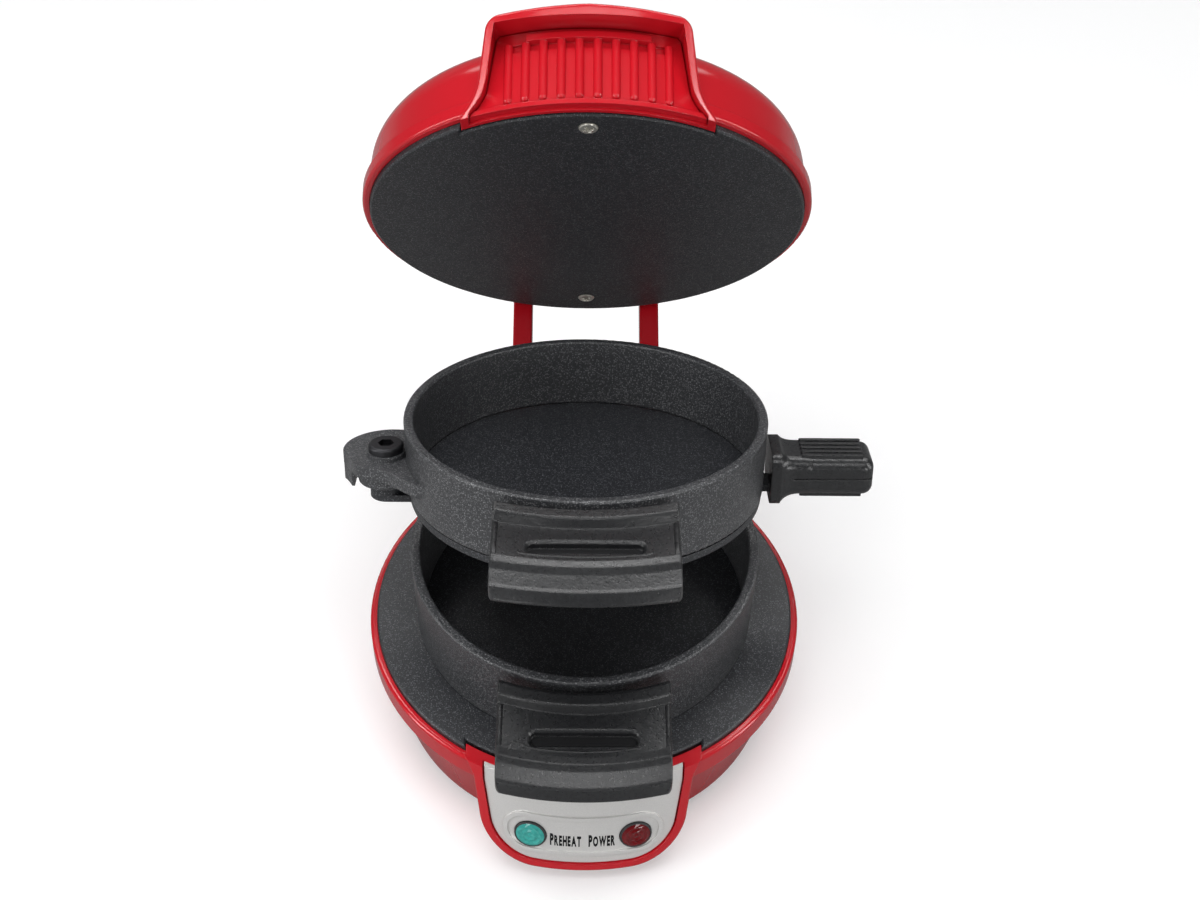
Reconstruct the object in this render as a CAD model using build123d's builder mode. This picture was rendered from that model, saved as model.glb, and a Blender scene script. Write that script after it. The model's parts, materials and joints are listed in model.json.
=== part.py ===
from build123d import *
import os
from math import asin, atan, cos, degrees, radians, sin, sqrt

# Breakfast sandwich maker: a heated base, two stacked rings with a swing-out egg plate, and a heated lid,
# all turning about one pin behind the base. Millimetres and degrees. +Z is up, -Y is the front, and the
# origin is on the table under the centre of the heating plates. Every piece is drawn with the maker shut;
# the upper ring and the lid are then turned about the hinge pin to the opening they rest at.

# Driving dimensions: heights above the table
foot_height = 3.0
heating_height = 44.0
lower_ring_height = 30.0
egg_plate_gap = 3.0
upper_ring_height = 23.5
lid_gap = 0.5

# Driving dimensions: round pieces
rim_radius = 74.0
plate_radius = 71.5
plate_thickness = 4.0
plate_exposed = 2.0
ring_radius = 58.0
ring_wall = 3.2
egg_plate_radius = 57.0
egg_plate_thickness = 2.4
bowl_foot_radius = 65.0
bowl_taper = 0.2375
shell_wall = 2.6
rim_band = 7.0
dome_height = 32.0

# Driving dimensions: hinge
hinge_back = 77.5
hinge_rise = 25.5
pin_radius = 2.5
barrel_radius = 5.0
lug_width = 12.0
upper_lug_width = 5.5
tower_width = 7.0
arm_width = 7.0
hinge_side_gap = 0.5
slab_ease = 0.5

# Driving dimensions: opening at rest
ring_opening = 17.5
lid_opening = 64.0

# Driving dimensions: front panel
panel_width = 70.4
panel_foot_width = 63.6
panel_foot_height = 7.0
panel_foot_reach = 84.0
panel_top_reach = 75.3
panel_corner = 18.0
panel_border = 3.1
panel_reveal = 0.5
panel_recess = 2.4
panel_thickness = 1.6
lens_spacing = 34.3
lens_height = 21.2
lens_radius = 5.25

# Driving dimensions: ring handles
handle_width = 53.8
handle_rear = 60.5
handle_reach = 92.0
handle_drop = 14.5
handle_wall = 2.6

# Driving dimensions: egg plate pivot and handle
pivot_out = 63.4
pivot_front = 6.8
pivot_screw_radius = 2.5
ear_thickness = 4.5
ear_drop = 12.0
grip_length = 33.0
grip_width = 17.0
grip_height = 13.0
grip_flange_width = 19.6
grip_flange_height = 17.8

# Driving dimensions: lid handle
visor_width = 61.6
visor_rise = 28.6
visor_reach = 84.2
notch_half_width = 38.0
notch_depth = 2.5
grip_rib_count = 10
grip_rib_pitch = 5.35

# Clearances
seat_gap = 0.15
running_gap = 0.05
slide_gap = 0.3
screw_slack = 0.2
fixed_gap = 0.02

# Sizes that follow
rim_height = heating_height - plate_exposed
seat_height = heating_height - plate_thickness
hinge_height = heating_height + hinge_rise
lower_ring_top = heating_height + lower_ring_height
upper_ring_foot = lower_ring_top + egg_plate_gap
upper_ring_top = upper_ring_foot + upper_ring_height
lid_face = upper_ring_top + lid_gap
lid_rim = lid_face + plate_exposed
lid_seat = lid_face + plate_thickness
dome_top = lid_seat + dome_height
ring_bore = ring_radius - ring_wall
ledge_radius = plate_radius - 3.0
band_foot = seat_height - rim_band
egg_plate_foot = lower_ring_top + (egg_plate_gap - egg_plate_thickness) / 2

lug_side = lug_width / 2
upper_lug_start = lug_side + hinge_side_gap
upper_lug_end = upper_lug_start + upper_lug_width
tower_start = upper_lug_end + hinge_side_gap
tower_end = tower_start + tower_width
arm_start = tower_end + hinge_side_gap
arm_end = arm_start + arm_width

hinge_point = Vector(0, hinge_back, hinge_height)


def opened(angle):
    """The placement that turns a shut piece back about the hinge pin by an angle."""
    to_hinge = Location(tuple(hinge_point))
    return to_hinge * Location((0, 0, 0), (-angle, 0, 0)) * to_hinge.inverse()


ring_pose = opened(ring_opening)
lid_pose = opened(lid_opening)


def bowl_radius(height):
    """Outer radius of the tapered bowl at a height above the table."""
    return bowl_foot_radius + (height - foot_height) * bowl_taper


def eased_slab(profile, thickness):
    """A flat slab of a profile drawn on its middle plane, with the edges of both faces eased."""
    with BuildPart() as slab:
        extrude(profile, amount=thickness / 2, both=True)
        chamfer(slab.faces().filter_by(Axis.X).edges(), slab_ease)
    return slab.part


def round_corner(sketch, place, radius):
    """Round the corner of a sketch that is nearest to a place."""
    fillet(sketch.vertices().sort_by_distance((*place, 0))[0], radius)


os.makedirs("parts", exist_ok=True)

# ---------------------------------------------------------------------------------------------------
# Base housing: a tapered bowl with a rim band, the frame of the front panel, hinge towers and bosses.

panel_top = heating_height - slide_gap
panel_lean = (panel_foot_reach - panel_top_reach) / (panel_top - panel_foot_height)
panel_tilt = degrees(atan(panel_lean))
panel_flare = panel_width / 2 + 2.6
panel_flare_height = 5.4
panel_depth = 24.0
panel_floor = 2.7
panel_room_margin = 7.0
frame_round = 1.2
notch_gap = 1.2
lamp_radius = 2.6
lens_turn = degrees(asin(lens_spacing / 2 / (panel_foot_reach - (lens_height - panel_foot_height) * panel_lean)))
plate_screw_at = 61.4
plate_screw_radius = 1.5
plate_post_radius = 4.0
cover_thickness = 2.0
cover_height = foot_height + 0.2
cover_screw_ring = bowl_foot_radius - 6.6
cover_screw_radius = 1.4
cover_screw_length = 6.0
cover_post_radius = 4.4
cover_post_height = 6.5
cover_screw_turn = 20.0
cord_height = 13.0
cord_boss_radius = 8.5
cord_boss_back = bowl_foot_radius + 6.0
bush_radius = 5.0
tower_barrel = 6.0


def panel_outline(inset, top, flared=False):
    """Front view of the panel, set in from its frame's edge; the frame's own edge flares into the rim."""
    half_top = panel_width / 2 - inset
    half_foot = panel_foot_width / 2 - inset
    foot = panel_foot_height + inset
    knee = top - panel_flare_height
    with BuildSketch(Plane.XZ.offset(ledge_radius - panel_depth)) as outline:
        with BuildLine():
            if flared:
                Polyline((half_top, knee), (panel_flare, top), (-panel_flare, top), (-half_top, knee))
            else:
                Polyline((half_top, knee), (half_top, top), (-half_top, top), (-half_top, knee))
            Polyline((-half_top, knee), (-half_foot, foot), (half_foot, foot), (half_top, knee))
        make_face()
        fillet(outline.vertices().group_by(Axis.Y)[0], panel_corner - inset)
        if flared:
            fillet(outline.vertices().filter_by_position(Axis.Y, knee - 0.1, knee + 0.1), panel_flare_height)
    return outline.sketch


def panel_band(outer, inner, foot, top):
    """Half section of a band that follows the panel's leaning round face, between two offsets from it."""

    def reach(height):
        return panel_foot_reach - (height - panel_foot_height) * panel_lean

    with BuildSketch(Plane.XZ) as band:
        with BuildLine():
            Polyline(
                (reach(foot) + outer, foot),
                (reach(top) + outer, top),
                (reach(top) + inner, top),
                (reach(foot) + inner, foot),
                close=True,
            )
        make_face()
    return band.sketch


def panel_layer(outer, inner, foot, top, outline):
    """The part of a panel band that lies behind an outline."""
    with BuildPart() as layer:
        revolve(panel_band(outer, inner, foot, top), axis=Axis.Z)
        extrude(outline, amount=2 * panel_depth + rim_radius - ledge_radius, mode=Mode.INTERSECT)
    return layer.part


def lens_plane(side, depth):
    """The plane square to the panel's face at one of its lenses, sunk by a level depth."""
    reach = panel_foot_reach - (lens_height - panel_foot_height) * panel_lean
    turn = radians(lens_turn)
    tilt = radians(panel_tilt)
    across = (cos(turn), side * sin(turn), 0)
    normal = (side * sin(turn) * cos(tilt), -cos(turn) * cos(tilt), sin(tilt))
    middle = (side * reach * sin(turn), -reach * cos(turn), lens_height)
    return Plane(origin=middle, x_dir=across, z_dir=normal).offset(-depth * cos(tilt))


def plate_outline(plane, gap=0.0):
    """The heating plate's outline, set back between two notches at the front, or a pocket for it."""
    with BuildSketch(plane) as front:
        Circle(plate_radius + 2)
        Circle(plate_radius - notch_depth + notch_gap * (gap > 0), mode=Mode.SUBTRACT)
        with Locations((0, -plate_radius)):
            Rectangle(2 * (notch_half_width - gap), plate_radius, mode=Mode.INTERSECT)
    with BuildSketch(plane) as outline:
        Circle(plate_radius + gap)
        add(front.sketch, mode=Mode.SUBTRACT)
    return outline.sketch


def tower_profile(plane):
    """Side view of a hinge tower, from the bowl's wall up to the barrel round the pin."""
    barrel_front = hinge_back - tower_barrel
    barrel_back = hinge_back + tower_barrel
    with BuildSketch(plane) as tower:
        with BuildLine():
            Polyline(
                (ledge_radius, seat_height - 14),
                (ledge_radius, seat_height),
                (plate_radius + slide_gap, seat_height),
                (plate_radius + slide_gap, heating_height),
                (barrel_front, hinge_height),
                (barrel_back, hinge_height),
                (barrel_back - 1.5, seat_height + 2),
                (bowl_radius(seat_height - 22) - 1, seat_height - 22),
                close=True,
            )
        make_face()
        with Locations((hinge_back, hinge_height)):
            Circle(tower_barrel)
    return tower.sketch


with BuildPart() as panel_frame:
    frame_outline = panel_outline(0, panel_top, flared=True)
    add(panel_layer(0, -panel_depth, panel_foot_height, panel_top, frame_outline))
    front_edges = panel_frame.faces().sort_by(Axis.Y)[0].edges().sort_by(Axis.Z)[:-1]
    fillet(front_edges, frame_round)

with BuildPart() as base_housing:
    with BuildSketch(Plane.XZ) as bowl:
        with BuildLine():
            Polyline(
                (0, foot_height),
                (bowl_foot_radius, foot_height),
                (bowl_radius(band_foot), band_foot),
                (rim_radius, band_foot + 0.8),
                (rim_radius, rim_height),
                (0, rim_height),
                close=True,
            )
        make_face()
        fillet(bowl.vertices().sort_by(Axis.X)[-1:], 0.4)
        fillet(bowl.vertices().group_by(Axis.Y)[-1].sort_by(Axis.X)[-1], 1.2)
        fillet(bowl.vertices().group_by(Axis.Y)[0].sort_by(Axis.X)[-1], 2.0)
    revolve(axis=Axis.Z)

    # the panel's frame stands proud of the bowl, leans back, and flares into the rim
    add(panel_frame.part)

    for side in (-1, 1):
        tower_middle = Plane.YZ.offset(side * (tower_start + tower_width / 2))
        add(eased_slab(tower_profile(tower_middle), tower_width))

    # the flat boss that the cord's bush sits in
    with BuildSketch(Plane.XZ.offset(-(bowl_foot_radius - 4))):
        with Locations((0, cord_height)):
            Circle(cord_boss_radius)
    extrude(amount=-(cord_boss_back - bowl_foot_radius + 4))

    # the cavity, and the pocket that the heating plate closes
    with BuildSketch(Plane.XZ):
        with BuildLine():
            Polyline(
                (0, foot_height),
                (bowl_radius(foot_height) - shell_wall, foot_height),
                (bowl_radius(seat_height - 3) - shell_wall, seat_height - 3),
                (ledge_radius, seat_height - 3),
                (ledge_radius, seat_height),
                (0, seat_height),
                close=True,
            )
        make_face()
    revolve(axis=Axis.Z, mode=Mode.SUBTRACT)
    extrude(plate_outline(Plane.XY.offset(seat_height), seat_gap), amount=plate_thickness, mode=Mode.SUBTRACT)

    # the panel's seat, the room behind it and the lamp holes
    seat = panel_layer(1, -panel_recess, panel_foot_height, panel_top + 1, panel_outline(panel_border, panel_top + 1))
    add(seat, mode=Mode.SUBTRACT)
    room_front = -panel_recess - panel_floor
    room_foot = panel_foot_height + panel_room_margin
    room_top = seat_height - panel_room_margin
    room_outline = panel_outline(panel_room_margin, room_top)
    add(panel_layer(room_front, room_front - panel_depth, room_foot, room_top, room_outline), mode=Mode.SUBTRACT)
    for side in (-1, 1):
        with BuildSketch(lens_plane(side, 0)):
            Circle(lamp_radius + seat_gap)
        extrude(amount=-12, mode=Mode.SUBTRACT)

    # posts under the heating plate, and posts for the bottom cover
    for end in (-1, 1):
        with BuildSketch(Plane.XY.offset(seat_height)):
            with Locations((0, end * plate_screw_at)):
                Circle(plate_post_radius)
            with Locations((0, end * (plate_screw_at + ledge_radius) / 2)):
                Rectangle(2 * plate_post_radius, ledge_radius - plate_screw_at + 0.6)
        extrude(amount=-15)
    with BuildSketch(Plane.XY.offset(cover_height + cover_thickness)):
        with PolarLocations(cover_screw_ring, 4, start_angle=cover_screw_turn):
            Circle(cover_post_radius)
        with PolarLocations((cover_screw_ring + bowl_foot_radius) / 2, 4, start_angle=cover_screw_turn):
            Rectangle(bowl_foot_radius - cover_screw_ring, cover_post_radius)
    extrude(amount=cover_post_height)

    # holes: plate screws, cover screws, hinge pin and cord
    with BuildSketch(Plane.XY.offset(seat_height)):
        with Locations((0, -plate_screw_at), (0, plate_screw_at)):
            Circle(plate_screw_radius + fixed_gap)
    extrude(amount=-11, mode=Mode.SUBTRACT)
    with BuildSketch(Plane.XY.offset(cover_height + cover_thickness)):
        with PolarLocations(cover_screw_ring, 4, start_angle=cover_screw_turn):
            Circle(cover_screw_radius + fixed_gap)
    extrude(amount=cover_screw_length, mode=Mode.SUBTRACT)
    with BuildSketch(Plane.YZ):
        with Locations((hinge_back, hinge_height)):
            Circle(pin_radius + fixed_gap)
    extrude(amount=arm_end, both=True, mode=Mode.SUBTRACT)
    with BuildSketch(Plane.XZ.offset(-(bowl_foot_radius - 10))):
        with Locations((0, cord_height)):
            Circle(bush_radius + fixed_gap)
    extrude(amount=-30, mode=Mode.SUBTRACT)
base_housing.part.label = "base_housing"
export_step(base_housing.part, "parts/base_housing.step")

# ---------------------------------------------------------------------------------------------------
# Bottom cover with its feet and screws

foot_ring = bowl_foot_radius - 12.0
foot_radius = 7.0
foot_stem_radius = 3.0
cover_head_radius = 2.8
vent_length = 16.0

with BuildPart() as bottom_cover:
    with BuildSketch(Plane.XY.offset(cover_height)):
        Circle(bowl_radius(foot_height) - shell_wall - slide_gap)
        with PolarLocations(foot_ring, 4, start_angle=45):
            Circle(foot_stem_radius + fixed_gap, mode=Mode.SUBTRACT)
        with PolarLocations(cover_screw_ring, 4, start_angle=cover_screw_turn):
            Circle(cover_screw_radius + screw_slack, mode=Mode.SUBTRACT)
        with PolarLocations(22, 4):
            SlotOverall(vent_length, 2.4, rotation=90, mode=Mode.SUBTRACT)
    extrude(amount=cover_thickness)
bottom_cover.part.label = "bottom_cover"
export_step(bottom_cover.part, "parts/bottom_cover.step")

with BuildPart() as rubber_feet:
    with BuildSketch():
        with PolarLocations(foot_ring, 4, start_angle=45):
            Circle(foot_radius)
    extrude(amount=cover_height, taper=6)
    with BuildSketch(Plane.XY.offset(cover_height)):
        with PolarLocations(foot_ring, 4, start_angle=45):
            Circle(foot_stem_radius)
    extrude(amount=cover_thickness + 1.5)
rubber_feet.part.label = "rubber_feet"
export_step(rubber_feet.part, "parts/rubber_feet.step")

with BuildPart() as cover_screws:
    with BuildSketch(Plane.XY.offset(cover_height)):
        with PolarLocations(cover_screw_ring, 4, start_angle=cover_screw_turn):
            Circle(cover_head_radius)
    extrude(amount=-1.6)
    with BuildSketch(Plane.XY.offset(cover_height)):
        with PolarLocations(cover_screw_ring, 4, start_angle=cover_screw_turn):
            Circle(cover_screw_radius)
    extrude(amount=cover_thickness + cover_screw_length - seat_gap)
cover_screws.part.label = "cover_screws"
export_step(cover_screws.part, "parts/cover_screws.step")

# ---------------------------------------------------------------------------------------------------
# Cord bush: a flanged ring in the rear boss

bush_bore = 3.25
bush_flange_radius = 7.5
bush_flange = 2.4

with BuildPart() as cord_bush:
    with BuildSketch(Plane.XZ.offset(-cord_boss_back)):
        with Locations((0, cord_height)):
            Circle(bush_flange_radius)
    extrude(amount=-bush_flange)
    fillet(cord_bush.edges().group_by(Axis.Y)[-1], 0.8)
    with BuildSketch(Plane.XZ.offset(-cord_boss_back)):
        with Locations((0, cord_height)):
            Circle(bush_radius)
    extrude(amount=cord_boss_back - bowl_foot_radius + 6)
    with BuildSketch(Plane.XZ.offset(-(cord_boss_back + 2 * bush_flange))):
        with Locations((0, cord_height)):
            Circle(bush_bore)
    extrude(amount=30, mode=Mode.SUBTRACT)
cord_bush.part.label = "cord_bush"
export_step(cord_bush.part, "parts/cord_bush.step")

# ---------------------------------------------------------------------------------------------------
# Front panel with its two lenses and the lamps behind them

bead_length = 52.0
bead_height = 16.2
bead_middle = 22.0
bead_width = 1.5
bead_rise = 0.6
lens_rise = 1.2

with BuildPart() as control_panel:
    panel_edge = panel_outline(panel_border + panel_reveal, panel_top)
    face_depth = panel_thickness - panel_recess
    add(panel_layer(face_depth, -panel_recess, panel_foot_height, panel_top - seat_gap, panel_edge))
    with BuildSketch(Plane.XZ.offset(ledge_radius - panel_depth)) as bead:
        with Locations((0, bead_middle)):
            RectangleRounded(bead_length, bead_height, bead_height / 2 - 0.01)
            inner_height = bead_height - 2 * bead_width
            RectangleRounded(bead_length - 2 * bead_width, inner_height, inner_height / 2 - 0.01, mode=Mode.SUBTRACT)
    add(panel_layer(face_depth + bead_rise, face_depth - seat_gap, panel_foot_height, panel_top, bead.sketch))
    for side in (-1, 1):
        with BuildSketch(lens_plane(side, panel_recess + 1)):
            Circle(lens_radius + seat_gap)
        extrude(amount=panel_recess + 2, mode=Mode.SUBTRACT)
control_panel.part.label = "control_panel"
export_step(control_panel.part, "parts/control_panel.step")


def indicator_lens(side):
    """A domed lens that sits on the panel's seat and comes through the panel."""
    with BuildPart() as lens:
        with BuildSketch(lens_plane(side, panel_recess)):
            Circle(lens_radius)
        extrude(amount=panel_thickness + lens_rise)
        fillet(lens.edges().filter_by(GeomType.CIRCLE).sort_by(Axis.Y)[0], lens_rise - 0.1)
    return lens


preheat_lens = indicator_lens(-1)
preheat_lens.part.label = "preheat_lens"
export_step(preheat_lens.part, "parts/preheat_lens.step")
power_lens = indicator_lens(1)
power_lens.part.label = "power_lens"
export_step(power_lens.part, "parts/power_lens.step")

with BuildPart() as indicator_lamps:
    for side in (-1, 1):
        with BuildSketch(lens_plane(side, panel_recess)):
            Circle(lamp_radius)
        extrude(amount=-11)
indicator_lamps.part.label = "indicator_lamps"
export_step(indicator_lamps.part, "parts/indicator_lamps.step")

# ---------------------------------------------------------------------------------------------------
# Heating sets: a plate, the tube element under it, a pan that shields the housing, and plate screws.
# Each is drawn with its cooking face at height 0, facing up.

element_ring = 43.0
element_radius = 3.2
pan_rib_outer = 56.0
pan_rib_inner = 53.0
pan_rib_height = 3.0
pan_depth = 7.0
pan_sheet = 0.8
head_radius = 3.0
head_depth = 1.7
regulator_radius = 8.0
regulator_height = 6.0


def heating_plate():
    """A cast plate, set back between two notches at the front, with a rib for the pan."""
    with BuildPart() as plate:
        extrude(plate_outline(Plane.XY), amount=-plate_thickness)
        chamfer(plate.edges().group_by(Axis.Z)[-1], 0.6)
        with BuildSketch(Plane.XY.offset(-plate_thickness)):
            Circle(pan_rib_outer)
            Circle(pan_rib_inner, mode=Mode.SUBTRACT)
        extrude(amount=-pan_rib_height)
        with Locations((0, -plate_screw_at, 0), (0, plate_screw_at, 0)):
            CounterSinkHole(plate_screw_radius + screw_slack, head_radius + screw_slack)
    return plate


def tube_element():
    """A tube bent to an open ring under the plate, with two ends turned down."""
    with BuildPart() as tube:
        with BuildSketch(Plane.XZ):
            with Locations((element_ring, -plate_thickness - element_radius)):
                Circle(element_radius)
        revolve(axis=Axis.Z, revolution_arc=300)
    return tube


def shield_pan():
    """A pressed pan, hung on the plate's rib, that keeps the heat off the housing."""
    rim_level = -plate_thickness - pan_rib_height
    with BuildPart() as pan:
        with BuildSketch(Plane.XZ):
            with BuildLine():
                Polyline(
                    (0, rim_level - pan_depth),
                    (pan_rib_inner - 6, rim_level - pan_depth),
                    (pan_rib_inner, rim_level),
                    (pan_rib_outer, rim_level),
                    (pan_rib_outer, rim_level - pan_sheet),
                    (pan_rib_inner + 0.6, rim_level - pan_sheet),
                    (pan_rib_inner - 5.4, rim_level - pan_depth - pan_sheet),
                    (0, rim_level - pan_depth - pan_sheet),
                    close=True,
                )
            make_face()
        revolve(axis=Axis.Z)
    return pan


def plate_screws():
    """Two countersunk cross-head screws that hold a plate to its housing."""
    with BuildPart() as screws:
        for end in (-1, 1):
            with BuildSketch(Plane.XZ.offset(-end * plate_screw_at)):
                with BuildLine():
                    Polyline(
                        (0, -0.2),
                        (head_radius, -0.2),
                        (plate_screw_radius, -head_depth),
                        (plate_screw_radius, -plate_thickness - 8),
                        (0, -plate_thickness - 8),
                        close=True,
                    )
                make_face()
            revolve(axis=Axis((0, end * plate_screw_at, 0), (0, 0, 1)))
        with BuildSketch(Plane.XY.offset(-0.2)):
            with Locations((0, -plate_screw_at), (0, plate_screw_at)):
                Rectangle(3.4, 0.8)
                Rectangle(0.8, 3.4)
        extrude(amount=-0.9, mode=Mode.SUBTRACT)
    return screws


def regulator():
    """The disc thermostat that presses on the plate's back."""
    with BuildPart() as disc:
        with BuildSketch(Plane.XY.offset(-plate_thickness)):
            Circle(regulator_radius)
        extrude(amount=-regulator_height)
        with BuildSketch(Plane.XY.offset(-plate_thickness)):
            Rectangle(26, 7)
        extrude(amount=-0.8)
    return disc


on_base = Location((0, 0, heating_height))
on_lid = lid_pose * Location((0, 0, lid_face), (0, 180, 0))

lower_plate = heating_plate()
lower_plate.part.move(on_base)
lower_plate.part.label = "lower_plate"
export_step(lower_plate.part, "parts/lower_plate.step")
lower_element = tube_element()
lower_element.part.move(on_base)
lower_element.part.label = "lower_element"
export_step(lower_element.part, "parts/lower_element.step")
lower_pan = shield_pan()
lower_pan.part.move(on_base)
lower_pan.part.label = "lower_pan"
export_step(lower_pan.part, "parts/lower_pan.step")
lower_plate_screws = plate_screws()
lower_plate_screws.part.move(on_base)
lower_plate_screws.part.label = "lower_plate_screws"
export_step(lower_plate_screws.part, "parts/lower_plate_screws.step")
thermostat = regulator()
thermostat.part.move(on_base)
thermostat.part.label = "thermostat"
export_step(thermostat.part, "parts/thermostat.step")

upper_plate = heating_plate()
upper_plate.part.move(on_lid)
upper_plate.part.label = "upper_plate"
export_step(upper_plate.part, "parts/upper_plate.step")
upper_element = tube_element()
upper_element.part.move(on_lid)
upper_element.part.label = "upper_element"
export_step(upper_element.part, "parts/upper_element.step")
upper_pan = shield_pan()
upper_pan.part.move(on_lid)
upper_pan.part.label = "upper_pan"
export_step(upper_pan.part, "parts/upper_pan.step")
upper_plate_screws = plate_screws()
upper_plate_screws.part.move(on_lid)
upper_plate_screws.part.label = "upper_plate_screws"
export_step(upper_plate_screws.part, "parts/upper_plate_screws.step")
thermal_fuse = regulator()
thermal_fuse.part.move(on_lid)
thermal_fuse.part.label = "thermal_fuse"
export_step(thermal_fuse.part, "parts/thermal_fuse.step")

# ---------------------------------------------------------------------------------------------------
# Hinge pin, headed at one end and held by a clip ring at the other

pin_head_radius = 4.2
pin_head = 1.6

with BuildPart() as hinge_pin:
    with BuildSketch(Plane.YZ.offset(-arm_end - hinge_side_gap)):
        with Locations((hinge_back, hinge_height)):
            Circle(pin_radius)
    extrude(amount=2 * arm_end + 2 * hinge_side_gap + pin_head)
    with BuildSketch(Plane.YZ.offset(-arm_end - hinge_side_gap)):
        with Locations((hinge_back, hinge_height)):
            Circle(pin_head_radius)
    extrude(amount=-pin_head)
    fillet(hinge_pin.edges().group_by(Axis.X)[0], 0.8)
hinge_pin.part.label = "hinge_pin"
export_step(hinge_pin.part, "parts/hinge_pin.step")

with BuildPart() as pin_clip:
    with BuildSketch(Plane.YZ.offset(arm_end + hinge_side_gap)):
        with Locations((hinge_back, hinge_height)):
            Circle(pin_head_radius)
            Circle(pin_radius + fixed_gap, mode=Mode.SUBTRACT)
    extrude(amount=1.0)
pin_clip.part.label = "pin_clip"
export_step(pin_clip.part, "parts/pin_clip.step")

# ---------------------------------------------------------------------------------------------------
# Rings: cast hoops with a tab under the handle at the front and lugs on the pin at the back

ring_draft = 0.6
tab_half_width = 15.0
tab_reach = handle_reach - 12.0
tab_thickness = 4.0
tab_drop = 8.6
handle_screw_side = 9.0
handle_screw_at = handle_reach - 23.0
handle_screw_radius = 1.6


def hoop_profile(foot, top):
    """Half section of a ring's wall, slightly drawn in at its foot and rounded at its rims."""
    outer_foot = ring_radius - ring_draft
    with BuildSketch(Plane.XZ) as wall:
        with BuildLine():
            Polyline((ring_bore, foot), (outer_foot, foot), (ring_radius, top), (ring_bore, top), close=True)
        make_face()
        fillet(wall.vertices(), 0.7)
    return wall.sketch


def tab_plan(top):
    """Plan of the tab that carries the handle, from inside the ring's wall to the front."""
    inner = ring_bore + ring_wall / 2
    with BuildSketch(Plane.XY.offset(top - tab_drop)) as tab:
        with Locations((0, -(inner - 4 + tab_reach) / 2)):
            Rectangle(2 * tab_half_width, tab_reach - inner + 4)
        fillet(tab.vertices().group_by(Axis.Y)[0], 3)
        Circle(inner, mode=Mode.SUBTRACT)
        with Locations((-handle_screw_side, -handle_screw_at), (handle_screw_side, -handle_screw_at)):
            Circle(handle_screw_radius + screw_slack, mode=Mode.SUBTRACT)
    return tab.sketch


def hinge_lug(plane, foot, top, back_foot, back_top):
    """Side view of a lug that runs from a ring's wall to a barrel round the hinge pin."""
    with BuildSketch(plane) as lug:
        with BuildLine():
            Polyline((ring_bore + ring_wall / 2, foot), back_foot, back_top, (ring_bore + ring_wall / 2, top), close=True)
        make_face()
        with Locations((hinge_back, hinge_height)):
            Circle(barrel_radius)
            Circle(pin_radius + running_gap, mode=Mode.SUBTRACT)
    return lug.sketch


with BuildPart() as lower_ring:
    revolve(hoop_profile(heating_height, lower_ring_top), axis=Axis.Z)
    extrude(tab_plan(lower_ring_top), amount=-tab_thickness)
    under_pin = (hinge_back, hinge_height - barrel_radius)
    over_pin = (hinge_back, hinge_height + barrel_radius - 1)
    add(eased_slab(hinge_lug(Plane.YZ, lower_ring_top - 12, lower_ring_top - 1, under_pin, over_pin), lug_width))
lower_ring.part.label = "lower_ring"
export_step(lower_ring.part, "parts/lower_ring.step")

# The upper ring also has an ear at its left that holds the egg plate's pivot and its stop.
ear_top = upper_ring_top - ear_drop
ear_foot = ear_top - ear_thickness
ear_boss_radius = 9.2
ear_crown_radius = 6.2
ear_crown = 1.7
collar_height = 2.7
washer_thickness = 0.8
boss_foot = egg_plate_foot + egg_plate_thickness + collar_height + washer_thickness + 0.2
tooth_out = 12.2
tooth_back = 0.4
tooth_width = 3.8
tooth_length = 5.6
tooth_drop = 10.2
stop_reach = 10.2
stop_turn = 118.0
stop_radius = 1.6
stop_foot = egg_plate_foot + 0.5
ear_back = [(6.8, 16.2), (-4.8, 16.4), (-11.5, 11.6), (-14.2, 3.0)]
ear_front = [(-14.2, 3.0), (-11.0, -2.8), (-8.0, -7.7), (-1.6, -10.2), (3.6, -13.6), (8.0, -17.8), (13.4, -21.4)]


def at_pivot(places):
    """Places given from the egg plate's pivot, moved to it."""
    return [(across - pivot_out, back - pivot_front) for across, back in places]


def ear_plan(height):
    """Plan of the ear, from the hoop round the back of the pivot to its tip and back along the front."""
    inner = -ring_bore + 12
    with BuildSketch(Plane.XY.offset(height)) as ear:
        with BuildLine():
            back_edge = Spline(*at_pivot(ear_back))
            front_edge = Spline(*at_pivot(ear_front))
            start, end = back_edge @ 0, front_edge @ 1
            Polyline(end, (inner, end.Y), (inner, start.Y), start)
        make_face()
        Circle(ring_bore + ring_wall / 4, mode=Mode.SUBTRACT)
    return ear.sketch


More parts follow.
